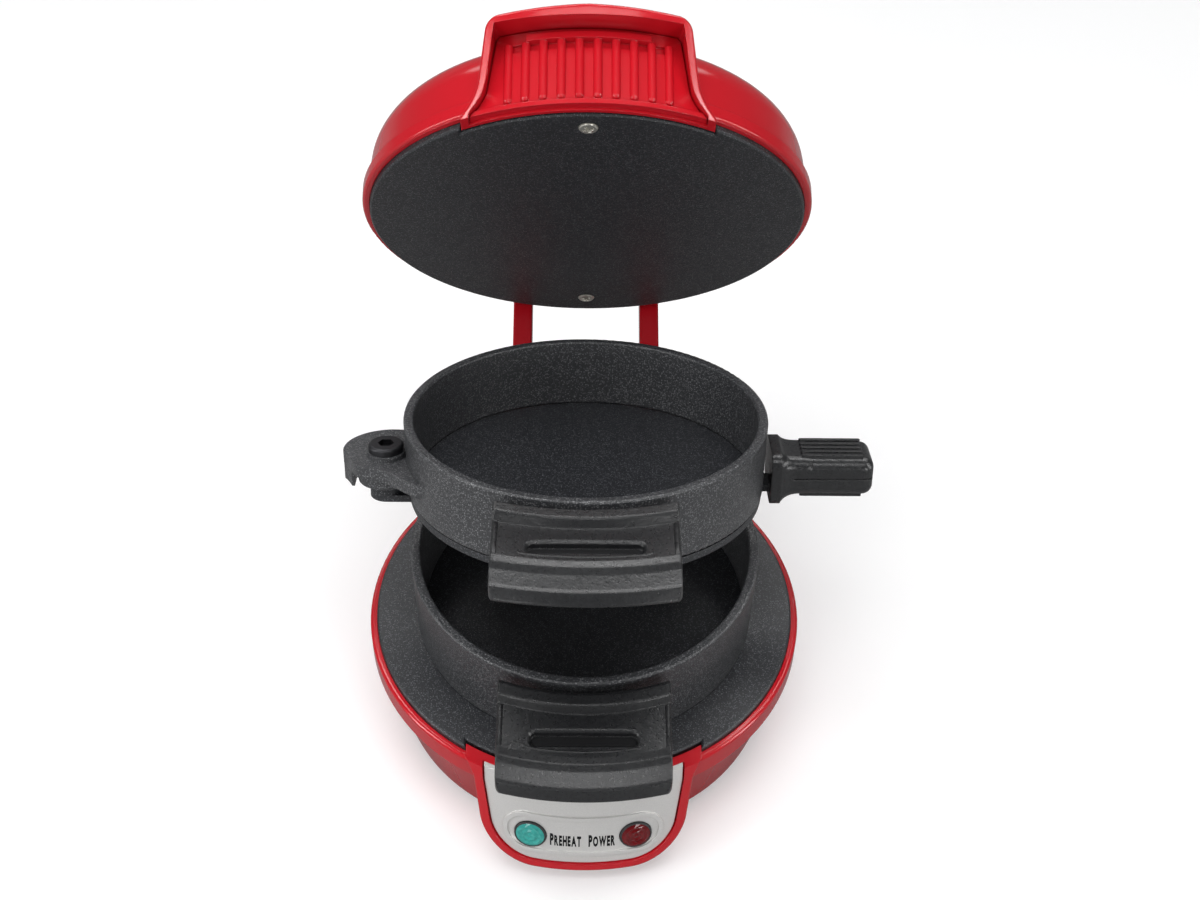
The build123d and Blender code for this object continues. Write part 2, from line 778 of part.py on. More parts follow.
with BuildPart() as upper_ring:
    revolve(hoop_profile(upper_ring_foot, upper_ring_top), axis=Axis.Z)
    extrude(tab_plan(upper_ring_top), amount=-tab_thickness)
    for side in (-1, 1):
        lug_middle = Plane.YZ.offset(side * (upper_lug_start + upper_lug_width / 2))
        under_pin = (hinge_back - barrel_radius + 1, hinge_height - 2)
        over_pin = (hinge_back + barrel_radius, hinge_height)
        lug_view = hinge_lug(lug_middle, upper_ring_foot + 2, upper_ring_top - 4, under_pin, over_pin)
        add(eased_slab(lug_view, upper_lug_width))

    # ear: swept back from the hoop round the pivot to a toothed tip, thick round the screw
    extrude(ear_plan(ear_foot), amount=ear_thickness)
    with BuildSketch(Plane.XY.offset(boss_foot)):
        with Locations((-pivot_out, -pivot_front)):
            Circle(ear_boss_radius)
        Circle(ring_bore + ring_wall / 4, mode=Mode.SUBTRACT)
    extrude(amount=ear_foot - boss_foot)
    with BuildSketch(Plane.XY.offset(ear_top)):
        with Locations((-pivot_out, -pivot_front)):
            Circle(ear_crown_radius)
        Circle(ring_bore + ring_wall / 4, mode=Mode.SUBTRACT)
    extrude(amount=ear_crown)
    with BuildSketch(Plane.XY.offset(ear_top - tooth_drop)):
        add(ear_plan(ear_top - tooth_drop))
        with Locations((-pivot_out - tooth_out, -pivot_front + tooth_back)):
            Rectangle(tooth_width, tooth_length, mode=Mode.INTERSECT)
    extrude(amount=tooth_drop - ear_thickness)

    # the stop that the egg plate's tail rests on, and the pivot hole
    with BuildSketch(Plane.XY.offset(stop_foot)):
        with Locations(Location((-pivot_out, -pivot_front, 0), stop_turn)):
            with Locations((stop_reach, 0)):
                Circle(stop_radius)
    extrude(amount=ear_foot - stop_foot)
    with BuildSketch(Plane.XY.offset(boss_foot)):
        with Locations((-pivot_out, -pivot_front)):
            Circle(pivot_screw_radius + fixed_gap)
    extrude(amount=ear_top + ear_crown - boss_foot, mode=Mode.SUBTRACT)
upper_ring.part.move(ring_pose)
upper_ring.part.label = "upper_ring"
export_step(upper_ring.part, "parts/upper_ring.step")

# ---------------------------------------------------------------------------------------------------
# Ring handles: hollow visors with a raised rear flange, a recessed slot and a skirt round the front

visor_bend_back = 12.0
bead_depth = 5.9
bead_drop = 3.8
face_drop = 5.9
brow_depth = 9.4
band_drop = 10.3
band_depth = 2.0
side_drop = 9.4
handle_corner = 4.5
slot_length = 32.8
slot_width = 4.4
slot_at = handle_reach - 17.5
slot_floor = 7.0
slot_chamfer = 0.7
handle_screw_tip = 5.5


def visor_section(top):
    """Outer section of the visor: rear bead, face, brow and a front skirt in two bands."""
    bead_front = -handle_rear - bead_depth
    brow = (-handle_reach + brow_depth, top - face_drop)
    band = (-handle_reach + band_depth, top - band_drop)
    with BuildSketch(Plane.YZ) as section:
        with BuildLine():
            Polyline(
                (-handle_rear, top - side_drop),
                (-handle_rear, top - 1.0),
                (-handle_rear - 1.4, top - 0.1),
                (bead_front + 1.0, top - 0.9),
                (bead_front - 0.2, top - bead_drop),
                (brow[0] + 1.8, brow[1] + 0.24),
                (brow[0] - 0.4, brow[1] - 0.5),
                (brow[0] - 2.2, brow[1] - 1.9),
                (band[0] + 1.0, band[1] + 0.3),
                band,
                (-handle_reach, top - handle_drop),
                close=True,
            )
        make_face()
        round_corner(section, (bead_front + 1.0, top - 0.9), 1.0)
        round_corner(section, (-handle_reach, top - handle_drop), 0.7)
    return section.sketch


def visor_hollow(top):
    """Section of the room under the visor, with a flat seat for the ring's tab."""
    rear = -handle_rear + 2
    foot = top - handle_drop - 1
    with BuildSketch(Plane.YZ) as section:
        with BuildLine():
            Polyline(
                (rear, top - tab_drop),
                (-tab_reach - 3.4, top - tab_drop),
                (-handle_reach + band_depth + handle_wall - 0.4, top - band_drop - 1.8),
                (-handle_reach + handle_wall - 0.2, foot),
                (rear, foot),
                close=True,
            )
        make_face()
    return section.sketch


def visor_plan(top, inset):
    """Plan of the visor, bowed at the front and the rear, with rounded front corners."""
    half = handle_width / 2 - inset
    front_bend = handle_reach + visor_bend_back - inset
    rear_bend = handle_rear + visor_bend_back - 3 + inset
    front_corner = visor_bend_back - sqrt(front_bend**2 - half**2)
    rear_corner = visor_bend_back - sqrt(rear_bend**2 - half**2)
    with BuildSketch(Plane.XY.offset(top)) as plan:
        with BuildLine():
            ThreePointArc((-half, front_corner), (0, visor_bend_back - front_bend), (half, front_corner))
            Line((half, front_corner), (half, rear_corner))
            ThreePointArc((half, rear_corner), (0, visor_bend_back - rear_bend), (-half, rear_corner))
            Line((-half, rear_corner), (-half, front_corner))
        make_face()
        fillet(plan.vertices().group_by(Axis.Y)[0], handle_corner - inset)
    return plan.sketch


def rims_slot(edge, top):
    """Whether an edge belongs to the mouth of the slot in a visor's face."""
    middle = edge.center()
    inside = abs(middle.X) < slot_length / 2 + 0.5 and abs(middle.Y + slot_at) < slot_width / 2 + 0.5
    return inside and middle.Z > top - slot_floor + 0.5


def ring_handle(top):
    """A visor handle that sits on its ring's front tab."""
    bend = Axis((0, visor_bend_back, 0), (0, 0, 1))
    with BuildPart() as hollow:
        revolve(visor_hollow(top), axis=bend)
        extrude(visor_plan(top, handle_wall), amount=-2 * handle_drop, mode=Mode.INTERSECT)
    with BuildPart() as visor:
        revolve(visor_section(top), axis=bend)
        extrude(visor_plan(top, 0), amount=-2 * handle_drop, mode=Mode.INTERSECT)
        add(hollow.part, mode=Mode.SUBTRACT)
        sides = visor.faces().filter_by(Axis.X).filter_by(lambda face: abs(face.center().X) > handle_width / 2 - 0.1)
        edges = sides.edges().filter_by(GeomType.LINE, reverse=True)
        fillet(edges.filter_by(lambda edge: edge.center().Z > top - face_drop - 0.5), 0.8)
        with BuildSketch(Plane.XY.offset(top)):
            with Locations((0, -slot_at)):
                RectangleRounded(slot_length, slot_width, 1.6)
        extrude(amount=-slot_floor, mode=Mode.SUBTRACT)
        chamfer(visor.edges().filter_by(lambda edge: rims_slot(edge, top)), slot_chamfer)
        with BuildSketch(Plane.XY.offset(top - handle_screw_tip)):
            with Locations((-handle_screw_side, -handle_screw_at), (handle_screw_side, -handle_screw_at)):
                Circle(handle_screw_radius + fixed_gap)
        extrude(amount=-handle_drop, mode=Mode.SUBTRACT)
    return visor


def handle_screws(top):
    """Two pan-head screws that come up through the tab into the visor."""
    places = [(-handle_screw_side, -handle_screw_at), (handle_screw_side, -handle_screw_at)]
    with BuildPart() as screws:
        with BuildSketch(Plane.XY.offset(top - tab_drop - tab_thickness)):
            with Locations(*places):
                Circle(2 * handle_screw_radius)
        extrude(amount=-1.8)
        with BuildSketch(Plane.XY.offset(top - tab_drop - tab_thickness)):
            with Locations(*places):
                Circle(handle_screw_radius)
        extrude(amount=tab_drop + tab_thickness - handle_screw_tip)
    return screws


lower_handle = ring_handle(lower_ring_top)
lower_handle.part.label = "lower_handle"
export_step(lower_handle.part, "parts/lower_handle.step")
lower_handle_screws = handle_screws(lower_ring_top)
lower_handle_screws.part.label = "lower_handle_screws"
export_step(lower_handle_screws.part, "parts/lower_handle_screws.step")
upper_handle = ring_handle(upper_ring_top)
upper_handle.part.move(ring_pose)
upper_handle.part.label = "upper_handle"
export_step(upper_handle.part, "parts/upper_handle.step")
upper_handle_screws = handle_screws(upper_ring_top)
upper_handle_screws.part.move(ring_pose)
upper_handle_screws.part.label = "upper_handle_screws"
export_step(upper_handle_screws.part, "parts/upper_handle_screws.step")

# ---------------------------------------------------------------------------------------------------
# Egg plate, its pivot stack at the left and its grip at the right

lug_radius = 5.7
neck_width = 11.4
tail_half = 1.8
tail_length = 11.6
tail_gap = 0.4
tail_angle = stop_turn - degrees((stop_radius + tail_half + tail_gap) / stop_reach)
nut_radius = 4.4
nut_height = 2.6
tongue_width = 8.0
grip_start = 59.4
grip_flange_depth = 3.2
grip_neck = 9.6
grip_end = grip_start + grip_length
grip_round = 3.6
grip_middle = egg_plate_foot + 7.0
grip_flange_middle = egg_plate_foot + 6.3
grip_rib_height = 0.9
grip_rib_length = 20.0
grip_rib_pitch_across = 2.7
grip_ridges = 5
parting = 0.4
tongue_end = grip_start + 6.1
pivot_place = (-pivot_out, -pivot_front)

with BuildPart() as egg_plate:
    with BuildSketch(Plane.XY.offset(egg_plate_foot)) as disc:
        Circle(egg_plate_radius)
        with Locations(((tongue_end + egg_plate_radius - 4) / 2, 0)):
            Rectangle(tongue_end - egg_plate_radius + 4, tongue_width)
        with Locations(((-pivot_out - egg_plate_radius + 8) / 2, -pivot_front)):
            Rectangle(pivot_out - egg_plate_radius + 8, neck_width)
        with Locations(pivot_place):
            Circle(lug_radius)
        with Locations(Location((-pivot_out, -pivot_front, 0), tail_angle)):
            with Locations((tail_length / 2, 0)):
                Rectangle(tail_length, 2 * tail_half)
        with Locations(pivot_place):
            Circle(pivot_screw_radius + running_gap, mode=Mode.SUBTRACT)
    extrude(amount=egg_plate_thickness)
    with BuildSketch(Plane.XY.offset(egg_plate_foot + egg_plate_thickness)):
        with Locations(pivot_place):
            Circle(lug_radius)
            Circle(pivot_screw_radius + running_gap, mode=Mode.SUBTRACT)
    extrude(amount=collar_height)
    with BuildSketch(Plane.XY.offset(egg_plate_foot)):
        with Locations(pivot_place):
            Circle(nut_radius + slide_gap)
    extrude(amount=nut_height + 0.2, mode=Mode.SUBTRACT)
egg_plate.part.move(ring_pose)
egg_plate.part.label = "egg_plate"
export_step(egg_plate.part, "parts/egg_plate.step")

def grip_slice(out, width, height, middle):
    """Cross-section of the grip at a distance from the middle of the rings."""
    with BuildSketch(Plane.YZ.offset(out)) as cut:
        with Locations((0, middle)):
            RectangleRounded(width, height, grip_round)
    return cut.sketch


with BuildPart() as grip_neck_part:
    flange_front = grip_start + grip_flange_depth
    add(grip_slice(flange_front, grip_flange_width, grip_flange_height, grip_flange_middle))
    halfway = (grip_middle + grip_flange_middle) / 2
    add(grip_slice(flange_front + 0.16 * grip_neck, grip_width + 1.2, grip_height + 2.2, halfway))
    add(grip_slice(flange_front + 0.45 * grip_neck, grip_width + 0.4, grip_height + 0.6, grip_middle))
    add(grip_slice(flange_front + grip_neck, grip_width, grip_height, grip_middle))
    loft()

with BuildPart() as egg_plate_grip:
    flange_slice = grip_slice(grip_start, grip_flange_width, grip_flange_height, grip_flange_middle)
    extrude(flange_slice, amount=grip_flange_depth)
    add(grip_neck_part.part)
    extrude(grip_slice(grip_start + 1, grip_width, grip_height, grip_middle), amount=grip_length - 1)
    fillet(egg_plate_grip.edges().group_by(Axis.X)[-1], 3.3)
    for side in (-1, 1):
        with BuildSketch(Plane.XY.offset(grip_middle)):
            with Locations((grip_start + grip_flange_depth + grip_neck + grip_rib_length / 2 - 3, 0)):
                with GridLocations(0, grip_rib_pitch_across, 1, grip_ridges):
                    SlotOverall(grip_rib_length, 1.3)
        extrude(amount=side * (grip_height / 2 + grip_rib_height))

    # the parting line round its middle, and the slot for the egg plate's tongue
    with BuildSketch(Plane.XY.offset(grip_middle - parting / 2)):
        with Locations(((flange_front + grip_end) / 2 + 4, 0)):
            Rectangle(grip_end - flange_front, grip_flange_width + 2)
        with Locations(((flange_front + grip_end) / 2, 0)):
            reach = grip_end - flange_front - 2 * parting
            RectangleRounded(reach, grip_width - 2 * parting, grip_round, mode=Mode.SUBTRACT)
    extrude(amount=parting, mode=Mode.SUBTRACT)
    with BuildSketch(Plane.YZ.offset(grip_start - 1)):
        with Locations((0, egg_plate_foot + egg_plate_thickness / 2)):
            Rectangle(tongue_width + 2 * fixed_gap, egg_plate_thickness + 2 * fixed_gap)
    extrude(amount=tongue_end - grip_start + 1 + seat_gap, mode=Mode.SUBTRACT)
egg_plate_grip.part.move(ring_pose)
egg_plate_grip.part.label = "egg_plate_grip"
export_step(egg_plate_grip.part, "parts/egg_plate_grip.step")

pivot_head_radius = 5.6
pivot_head = 2.5
pivot_seat = ear_top + ear_crown
pivot_socket = 2.6
nut_top = egg_plate_foot + nut_height + 0.1

with BuildPart() as pivot_screw:
    with BuildSketch(Plane.XY.offset(pivot_seat)):
        with Locations(pivot_place):
            Circle(pivot_head_radius)
    extrude(amount=pivot_head)
    fillet(pivot_screw.edges().group_by(Axis.Z)[-1], 0.9)
    with BuildSketch(Plane.XY.offset(pivot_seat + pivot_head)):
        with Locations(pivot_place):
            RegularPolygon(pivot_socket, 6)
    extrude(amount=-1.8, mode=Mode.SUBTRACT)
    with BuildSketch(Plane.XY.offset(pivot_seat)):
        with Locations(pivot_place):
            Circle(pivot_screw_radius)
    extrude(amount=-(pivot_seat - nut_top + nut_height))
pivot_screw.part.move(ring_pose)
pivot_screw.part.label = "pivot_screw"
export_step(pivot_screw.part, "parts/pivot_screw.step")

with BuildPart() as pivot_washer:
    with BuildSketch(Plane.XY.offset(boss_foot - washer_thickness - 0.1)):
        with Locations(pivot_place):
            Circle(lug_radius - 0.3)
            Circle(pivot_screw_radius + running_gap, mode=Mode.SUBTRACT)
    extrude(amount=washer_thickness)
pivot_washer.part.move(ring_pose)
pivot_washer.part.label = "pivot_washer"
export_step(pivot_washer.part, "parts/pivot_washer.step")

with BuildPart() as pivot_nut:
    with BuildSketch(Plane.XY.offset(nut_top)):
        with Locations(pivot_place):
            RegularPolygon(nut_radius, 6)
            Circle(pivot_screw_radius + fixed_gap, mode=Mode.SUBTRACT)
    extrude(amount=-nut_height)
pivot_nut.part.move(ring_pose)
pivot_nut.part.label = "pivot_nut"
export_step(pivot_nut.part, "parts/pivot_nut.step")

# ---------------------------------------------------------------------------------------------------
# Lid cover: a domed shell with a rim band, a visor handle at the front and two arms to the hinge pin

lid_band = 5.0
band_step = 0.7
dome_lean = 3.0
crown_drop = 8.0
shoulder_round = 16.0
visor_crown = 1.1
visor_flare = 6.6
visor_knee_round = 12.0
visor_corner = 4.5
visor_wall = 2.5
visor_round = 1.1
visor_foot_reach = 75.2
recess_wall_radius = plate_radius
recess_lip = lid_face + 24.8
recess_slope = 0.19


def dome_profile(inset, foot):
    """Half section of the dome: a nearly upright wall, a round shoulder and a low crown."""
    wall = rim_radius - band_step - inset
    shoulder = wall - dome_lean
    top = dome_top - inset
    crown_foot = top - crown_drop
    crown_radius = (shoulder**2 + crown_drop**2) / (2 * crown_drop)
    halfway = top - crown_radius + sqrt(crown_radius**2 - shoulder**2 / 4)
    with BuildSketch(Plane.XZ) as dome:
        with BuildLine():
            Polyline((shoulder, crown_foot), (wall, foot), (0, foot), (0, top))
            ThreePointArc((0, top), (shoulder / 2, halfway), (shoulder, crown_foot))
        make_face()
        fillet(dome.vertices().filter_by_position(Axis.X, shoulder - 0.1, shoulder + 0.1), shoulder_round - inset)
    return dome.sketch


def visor_outline(inset, top):
    """Front view of the lid's handle: legs that flare into the rim and a bowed top edge."""
    legs = notch_half_width - slide_gap - inset
    half_knee = visor_width / 2 + 2.1 - inset
    half_top = visor_width / 2 - 0.9 - inset
    foot = lid_face + slide_gap
    knee = lid_face + visor_flare
    with BuildSketch(Plane.XZ.offset(40)) as outline:
        with BuildLine():
            Polyline(
                (-legs, foot),
                (legs, foot),
                (legs, foot + 1.2),
                (half_knee, knee),
                (half_top, top),
                (0, top + visor_crown),
                (-half_top, top),
                (-half_knee, knee),
                (-legs, foot + 1.2),
                close=True,
            )
        make_face()
        fillet(outline.vertices().filter_by_position(Axis.Y, knee - 0.1, knee + 0.1), visor_knee_round)
        fillet(outline.vertices().filter_by_position(Axis.Y, top - 0.1, top + 0.1), visor_corner - inset / 2)
    return outline.sketch


def recess_room(inset):
    """The room for fingers behind the visor, under a ceiling that rises inwards."""
    with BuildPart() as room:
        extrude(visor_outline(visor_wall + inset, lid_face + visor_rise - visor_crown - inset), amount=60)
        with BuildSketch(Plane.XZ):
            with BuildLine():
                Polyline(
                    (recess_wall_radius, lid_face - 1),
                    (visor_reach + 10, lid_face - 1),
                    (visor_reach + 10, recess_lip - 10 * recess_slope - inset),
                    (recess_wall_radius, recess_lip + (visor_reach - recess_wall_radius) * recess_slope - inset),
                    close=True,
                )
            make_face()
        revolve(axis=Axis.Z, mode=Mode.INTERSECT)
    return room.part


with BuildPart() as visor_block:
    extrude(visor_outline(0, lid_face + visor_rise - visor_crown), amount=60)
    lean = (visor_reach - visor_foot_reach) / visor_rise
    with BuildSketch(Plane.XZ):
        with BuildLine():
            Polyline(
                (0, lid_face),
                (visor_foot_reach, lid_face),
                (visor_reach + 3 * lean, lid_face + visor_rise + 3),
                (0, lid_face + visor_rise + 3),
                close=True,
            )
        make_face()
    revolve(axis=Axis.Z, mode=Mode.INTERSECT)
    front_edges = visor_block.faces().sort_by(Axis.Y)[0].edges().sort_by(Axis.Z)[1:]
    fillet(front_edges, visor_round)


def arm_view(plane):
    """Side view of an arm that reaches from the back of the lid down to the hinge pin."""
    with BuildSketch(plane) as arm:
        with BuildLine():
            Polyline(
                (hinge_back - barrel_radius, hinge_height),
                (hinge_back - barrel_radius, lid_rim),
                (ledge_radius - 2, lid_rim),
                (ledge_radius - 2, lid_rim + 14),
                (hinge_back - 1, lid_rim + 12),
                (hinge_back + barrel_radius, lid_rim + 4),
                (hinge_back + barrel_radius, hinge_height),
                close=True,
            )
        make_face()
        round_corner(arm, (hinge_back - 1, lid_rim + 12), 4.0)
        round_corner(arm, (hinge_back + barrel_radius, lid_rim + 4), 6.0)
        with Locations((hinge_back, hinge_height)):
            Circle(barrel_radius)
            Circle(pin_radius + running_gap, mode=Mode.SUBTRACT)
    return arm.sketch


with BuildPart() as lid_cover:
    revolve(dome_profile(0, lid_rim), axis=Axis.Z)
    with BuildSketch(Plane.XZ) as rim:
        with BuildLine():
            Polyline(
                (0, lid_rim),
                (rim_radius, lid_rim),
                (rim_radius, lid_rim + lid_band - 0.6),
                (rim_radius - band_step, lid_rim + lid_band),
                (0, lid_rim + lid_band),
                close=True,
            )
        make_face()
        round_corner(rim, (rim_radius, lid_rim), 1.2)
    revolve(axis=Axis.Z)
    add(visor_block.part)
    for side in (-1, 1):
        add(eased_slab(arm_view(Plane.YZ.offset(side * (arm_start + arm_width / 2))), arm_width))
    revolve(dome_profile(shell_wall, lid_seat), axis=Axis.Z, mode=Mode.SUBTRACT)
    with BuildSketch(Plane.XY.offset(lid_seat)):
        Circle(rim_radius - 1)
        Circle(ledge_radius, mode=Mode.SUBTRACT)
    extrude(amount=3)
    extrude(plate_outline(Plane.XY.offset(lid_seat), seat_gap), amount=-plate_thickness - 1, mode=Mode.SUBTRACT)
    add(recess_room(0), mode=Mode.SUBTRACT)
    for end in (-1, 1):
        with BuildSketch(Plane.XY.offset(lid_seat)):
            with Locations((0, end * plate_screw_at)):
                Circle(plate_post_radius)
            with Locations((0, end * (plate_screw_at + ledge_radius) / 2)):
                Rectangle(2 * plate_post_radius, ledge_radius - plate_screw_at + 0.6)
        extrude(amount=15)
    with BuildSketch(Plane.XY.offset(lid_seat)):
        with Locations((0, -plate_screw_at), (0, plate_screw_at)):
            Circle(plate_screw_radius + fixed_gap)
    extrude(amount=11, mode=Mode.SUBTRACT)
lid_cover.part.move(lid_pose)
lid_cover.part.label = "lid_cover"
export_step(lid_cover.part, "parts/lid_cover.step")

# ---------------------------------------------------------------------------------------------------
# Finger grip: a curved ribbed panel that lines the wall behind the lid's handle

grip_sheet = 1.6
grip_rib_radius = 1.3
grip_foot = lid_face + 1.2
rib_foot = lid_face + 4.4
grip_bar_foot = lid_face + 22.7
grip_bar_top = lid_face + 24.9
grip_bar_length = 37.0
grip_toe = 1.6
window_foot = lid_face + 20.2
window_depth = 1.0
rib_step = degrees(grip_rib_pitch / (recess_wall_radius + grip_sheet))
half_span = (grip_rib_count - 1) / 2
rib_angles = [-90 + (rib - half_span) * rib_step for rib in range(grip_rib_count)]


def grip_band(foot, thickness):
    """Plan of a band that lies on the wall behind the lid's handle."""
    with BuildSketch(Plane.XY.offset(foot)) as band:
        Circle(recess_wall_radius + thickness)
        Circle(recess_wall_radius + fixed_gap, mode=Mode.SUBTRACT)
    return band.sketch


with BuildPart() as grip_panel:
    extrude(grip_band(grip_foot, grip_sheet), amount=recess_lip + 5 - grip_foot)
    extrude(grip_band(grip_foot, grip_sheet + 0.9), amount=grip_toe)
    with BuildSketch(Plane.XY.offset(window_foot)):
        for left, right in zip(rib_angles[:-1], rib_angles[1:]):
            with PolarLocations(recess_wall_radius + grip_sheet, 1, start_angle=(left + right) / 2):
                Rectangle(2 * window_depth, grip_rib_pitch - 2 * grip_rib_radius)
    extrude(amount=grip_bar_foot - window_foot, mode=Mode.SUBTRACT)
    add(recess_room(slide_gap), mode=Mode.INTERSECT)
    with BuildSketch(Plane.XY.offset(grip_bar_foot)):
        Circle(recess_wall_radius + grip_sheet + 1.6)
        Circle(recess_wall_radius + fixed_gap, mode=Mode.SUBTRACT)
        with Locations((0, -recess_wall_radius)):
            Rectangle(grip_bar_length, 30, mode=Mode.INTERSECT)
    extrude(amount=grip_bar_top - grip_bar_foot)
    for around in rib_angles:
        with BuildSketch(Plane.XY.offset(rib_foot)):
            with PolarLocations(recess_wall_radius + grip_sheet, 1, start_angle=around):
                Circle(grip_rib_radius)
        extrude(amount=grip_bar_foot - rib_foot)
        middle = radians(around)
        rib_reach = recess_wall_radius + grip_sheet
        with Locations((rib_reach * cos(middle), rib_reach * sin(middle), rib_foot)):
            Sphere(grip_rib_radius)
grip_panel.part.move(lid_pose)
grip_panel.part.label = "grip_panel"
export_step(grip_panel.part, "parts/grip_panel.step")
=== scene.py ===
"""Dresses the packed sandwich maker.

Every node gets the finish of its slot. Faceted lenses, printed words, cross-head screws, raised rims on the
handles and dark sheets of painted shade in their slots are added, and a pale studio with its lights and
camera is set up.
"""

import json
import math

import bmesh
import bpy
from mathutils import Matrix, Vector


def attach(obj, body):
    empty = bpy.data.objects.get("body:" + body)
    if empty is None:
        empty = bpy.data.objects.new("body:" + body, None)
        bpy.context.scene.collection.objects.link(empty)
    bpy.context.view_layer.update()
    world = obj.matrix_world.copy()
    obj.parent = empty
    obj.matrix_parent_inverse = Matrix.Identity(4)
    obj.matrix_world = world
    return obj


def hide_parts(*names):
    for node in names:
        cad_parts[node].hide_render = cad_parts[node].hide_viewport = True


MM = 0.001

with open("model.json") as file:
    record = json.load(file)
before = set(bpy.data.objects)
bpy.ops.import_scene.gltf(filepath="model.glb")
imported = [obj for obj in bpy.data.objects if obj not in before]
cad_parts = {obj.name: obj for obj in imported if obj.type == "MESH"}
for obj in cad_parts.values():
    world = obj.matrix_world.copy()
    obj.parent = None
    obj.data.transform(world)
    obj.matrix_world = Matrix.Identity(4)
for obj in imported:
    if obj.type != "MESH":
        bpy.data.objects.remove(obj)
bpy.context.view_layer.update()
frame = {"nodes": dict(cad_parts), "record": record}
nodes = frame["nodes"]
record = frame["record"]

# ---------------------------------------------------------------------------------------------------
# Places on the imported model, in millimetres and degrees. Heights are those of the shut maker.

HINGE_BACK = 77.5
HINGE_HEIGHT = 69.5
RING_OPENING = 17.5
LID_OPENING = 64.0
LOWER_RING_TOP = 74.0
UPPER_RING_TOP = 100.5
LID_FACE = 101.0
PLATE_SCREW_REACH = 61.4
CROWN_TOP = 137.0
CROWN_RADIUS = 312.88

# The front panel, round and leaning back from its foot, and the lenses in it
PANEL_FOOT_REACH = 84.0
PANEL_FOOT = 7.0
PANEL_LEAN = 0.23706
PANEL_FACE = 0.8
LENS_HEIGHT = 21.2
LENS_REACH = 17.15
LENS_RADIUS = 5.25

# The ring handles, bent round an axis behind the middle; the face slopes down from its rear to its front
HANDLE_BEND_BACK = 12.0
FACE_REAR = 78.6
FACE_FRONT = 92.8
FACE_REAR_DROP = 3.8
FACE_FRONT_DROP = 5.66
SLOT_REACH = 74.5
SLOT_FLOOR = 7.0
SLOT_HALF = 16.1
SLOT_HALF_WIDTH = 1.95

# ---------------------------------------------------------------------------------------------------
# Sizes of the added pieces, in millimetres

# Lenses: each rim row's inset from the edge, or facet row's radius, and its depth below the crown
LENS_BASE = 2.4
LENS_PROUD = 0.4
LENS_STEPS = 20
LENS_RIM = [(0.0, 0.55), (0.25, 0.35), (0.5, 0.55), (0.7, 0.45)]
LENS_FACETS = [(3.7, 0.05), (2.8, 0.35), (1.9, 0.0), (0.95, 0.3)]
DARK_ROWS = 3

# Printed words: left and right ends, and the height of their first letter and of the others
WORDS = {"PREHEAT": (-10.7, -0.6), "POWER": (1.8, 10.4)}
WORD_FOOT = 17.4
WORD_TALL = 5.1
WORD_SMALL = 4.5
LETTER_WEIGHT = 0.055
LETTER_SQUEEZE = 0.55
LETTER_GAP = 0.34
LETTER_CURVE_STEPS = 4
INK_LIFT = 0.02

# Cross-head screws of the lid's plate: radius and height of the head's side, its dome, and the cross in it
HEAD_EDGE = 2.75
HEAD_SIDE = [(HEAD_EDGE, 0.3), (HEAD_EDGE, -0.05), (HEAD_EDGE - 0.12, -0.2)]
HEAD_DOME_EDGE = 2.5
HEAD_BRIM = 0.26
HEAD_DOME = 0.3
HEAD_ROUNDS = 26
HEAD_STEPS = 72
CROSS_DEPTH = 0.95
CROSS_HALF_WIDTH = 0.52
CROSS_REACH = 1.8
CROSS_SIDE_SLOPE = 0.14
CROSS_END_SLOPE = 0.5
FRONT_CROSS_TURN = 0.3
REAR_CROSS_TURN = 0.9

# Rims down both sides of a handle's face, and a line across it: their sections are across and up
RIM_OUTER_SIDE = [(-0.75, -0.6), (-0.75, 0.0), (-0.5, 0.34), (-0.1, 0.46)]
RIM_INNER_SIDE = [(0.35, 0.42), (0.68, 0.2), (0.8, -0.6)]
RIM_SECTION = RIM_OUTER_SIDE + RIM_INNER_SIDE
RIM_OUT = 25.75
RIM_REAR = 79.0
RIM_LENGTH = 13.6
RIM_STEPS = 14
RIM_TAPER_STEPS = 3
RIM_REAR_SHARE = 0.3
RIM_FRONT_SHARE = 0.2
LINE_SECTION = [(-0.45, -0.4), (-0.45, 0.0), (-0.15, 0.26), (0.15, 0.26), (0.45, 0.0), (0.45, -0.4)]
LINE_HALF = 19.0
LINE_FULL_HALF = 16.5
LINE_REACH = 91.2
LINE_END_BEND = 0.8
LINE_STEPS = 40
LINE_END_SHARE = 0.1
LINE_GROWTH = 1.4

# Dark sheets of painted shade in the handles' slots: the share of the slot's width and the height over its
# floor, level by level
SLOT_LEVELS = [(1.0, -0.3), (1.0, 0.05), (0.94, 0.16), (0.8, 0.1)]
SLOT_END_STEPS = 8

# The cap over the pole of the lid's dome
CROWN_SPOT = 8.2
CROWN_LIFT = 0.003
CROWN_SKIRT = 0.3
CROWN_ROUNDS = 6
CROWN_STEPS = 48

# ---------------------------------------------------------------------------------------------------
# Studio, in metres, watts and degrees, and the camera

FLOOR_SIZE = 6.0
SWEEP_START = 1.2
SWEEP_RADIUS = 0.8
SWEEP_STEPS = 12
BACKDROP_TOP = 3.0
PAPER_LIT = (0.34, 0.34, 0.34)
PAPER_SHOWN = (0.78, 0.78, 0.78)
PAPER_GLOW = (0.27, 0.27, 0.27)
BLACK = (0, 0, 0)
SKY_COLOUR = (0.97, 0.98, 1.0, 1)
SKY_LIGHT = 0.40
SKY_SHOWN_MORE = 0.60
SKY_MIRRORED_MORE = -0.28
MAKER_MIDDLE = (0, 0, 0.1)
RINGS_MIDDLE = (0, 0, 0.25)

CAMERA_PLACE = (-1.453 * MM, -361.394 * MM, 483.854 * MM)
CAMERA_PITCH = 44.806
CAMERA_YAW = 0.485
CAMERA_ROLL = 0.736
CAMERA_CLIP = 0.01
PICTURE_WIDTH = 1200
FOCAL_PIXELS = 1631.5
CENTRE_OFFSET = (-8.967, -14.665)
SENSOR = 36.0

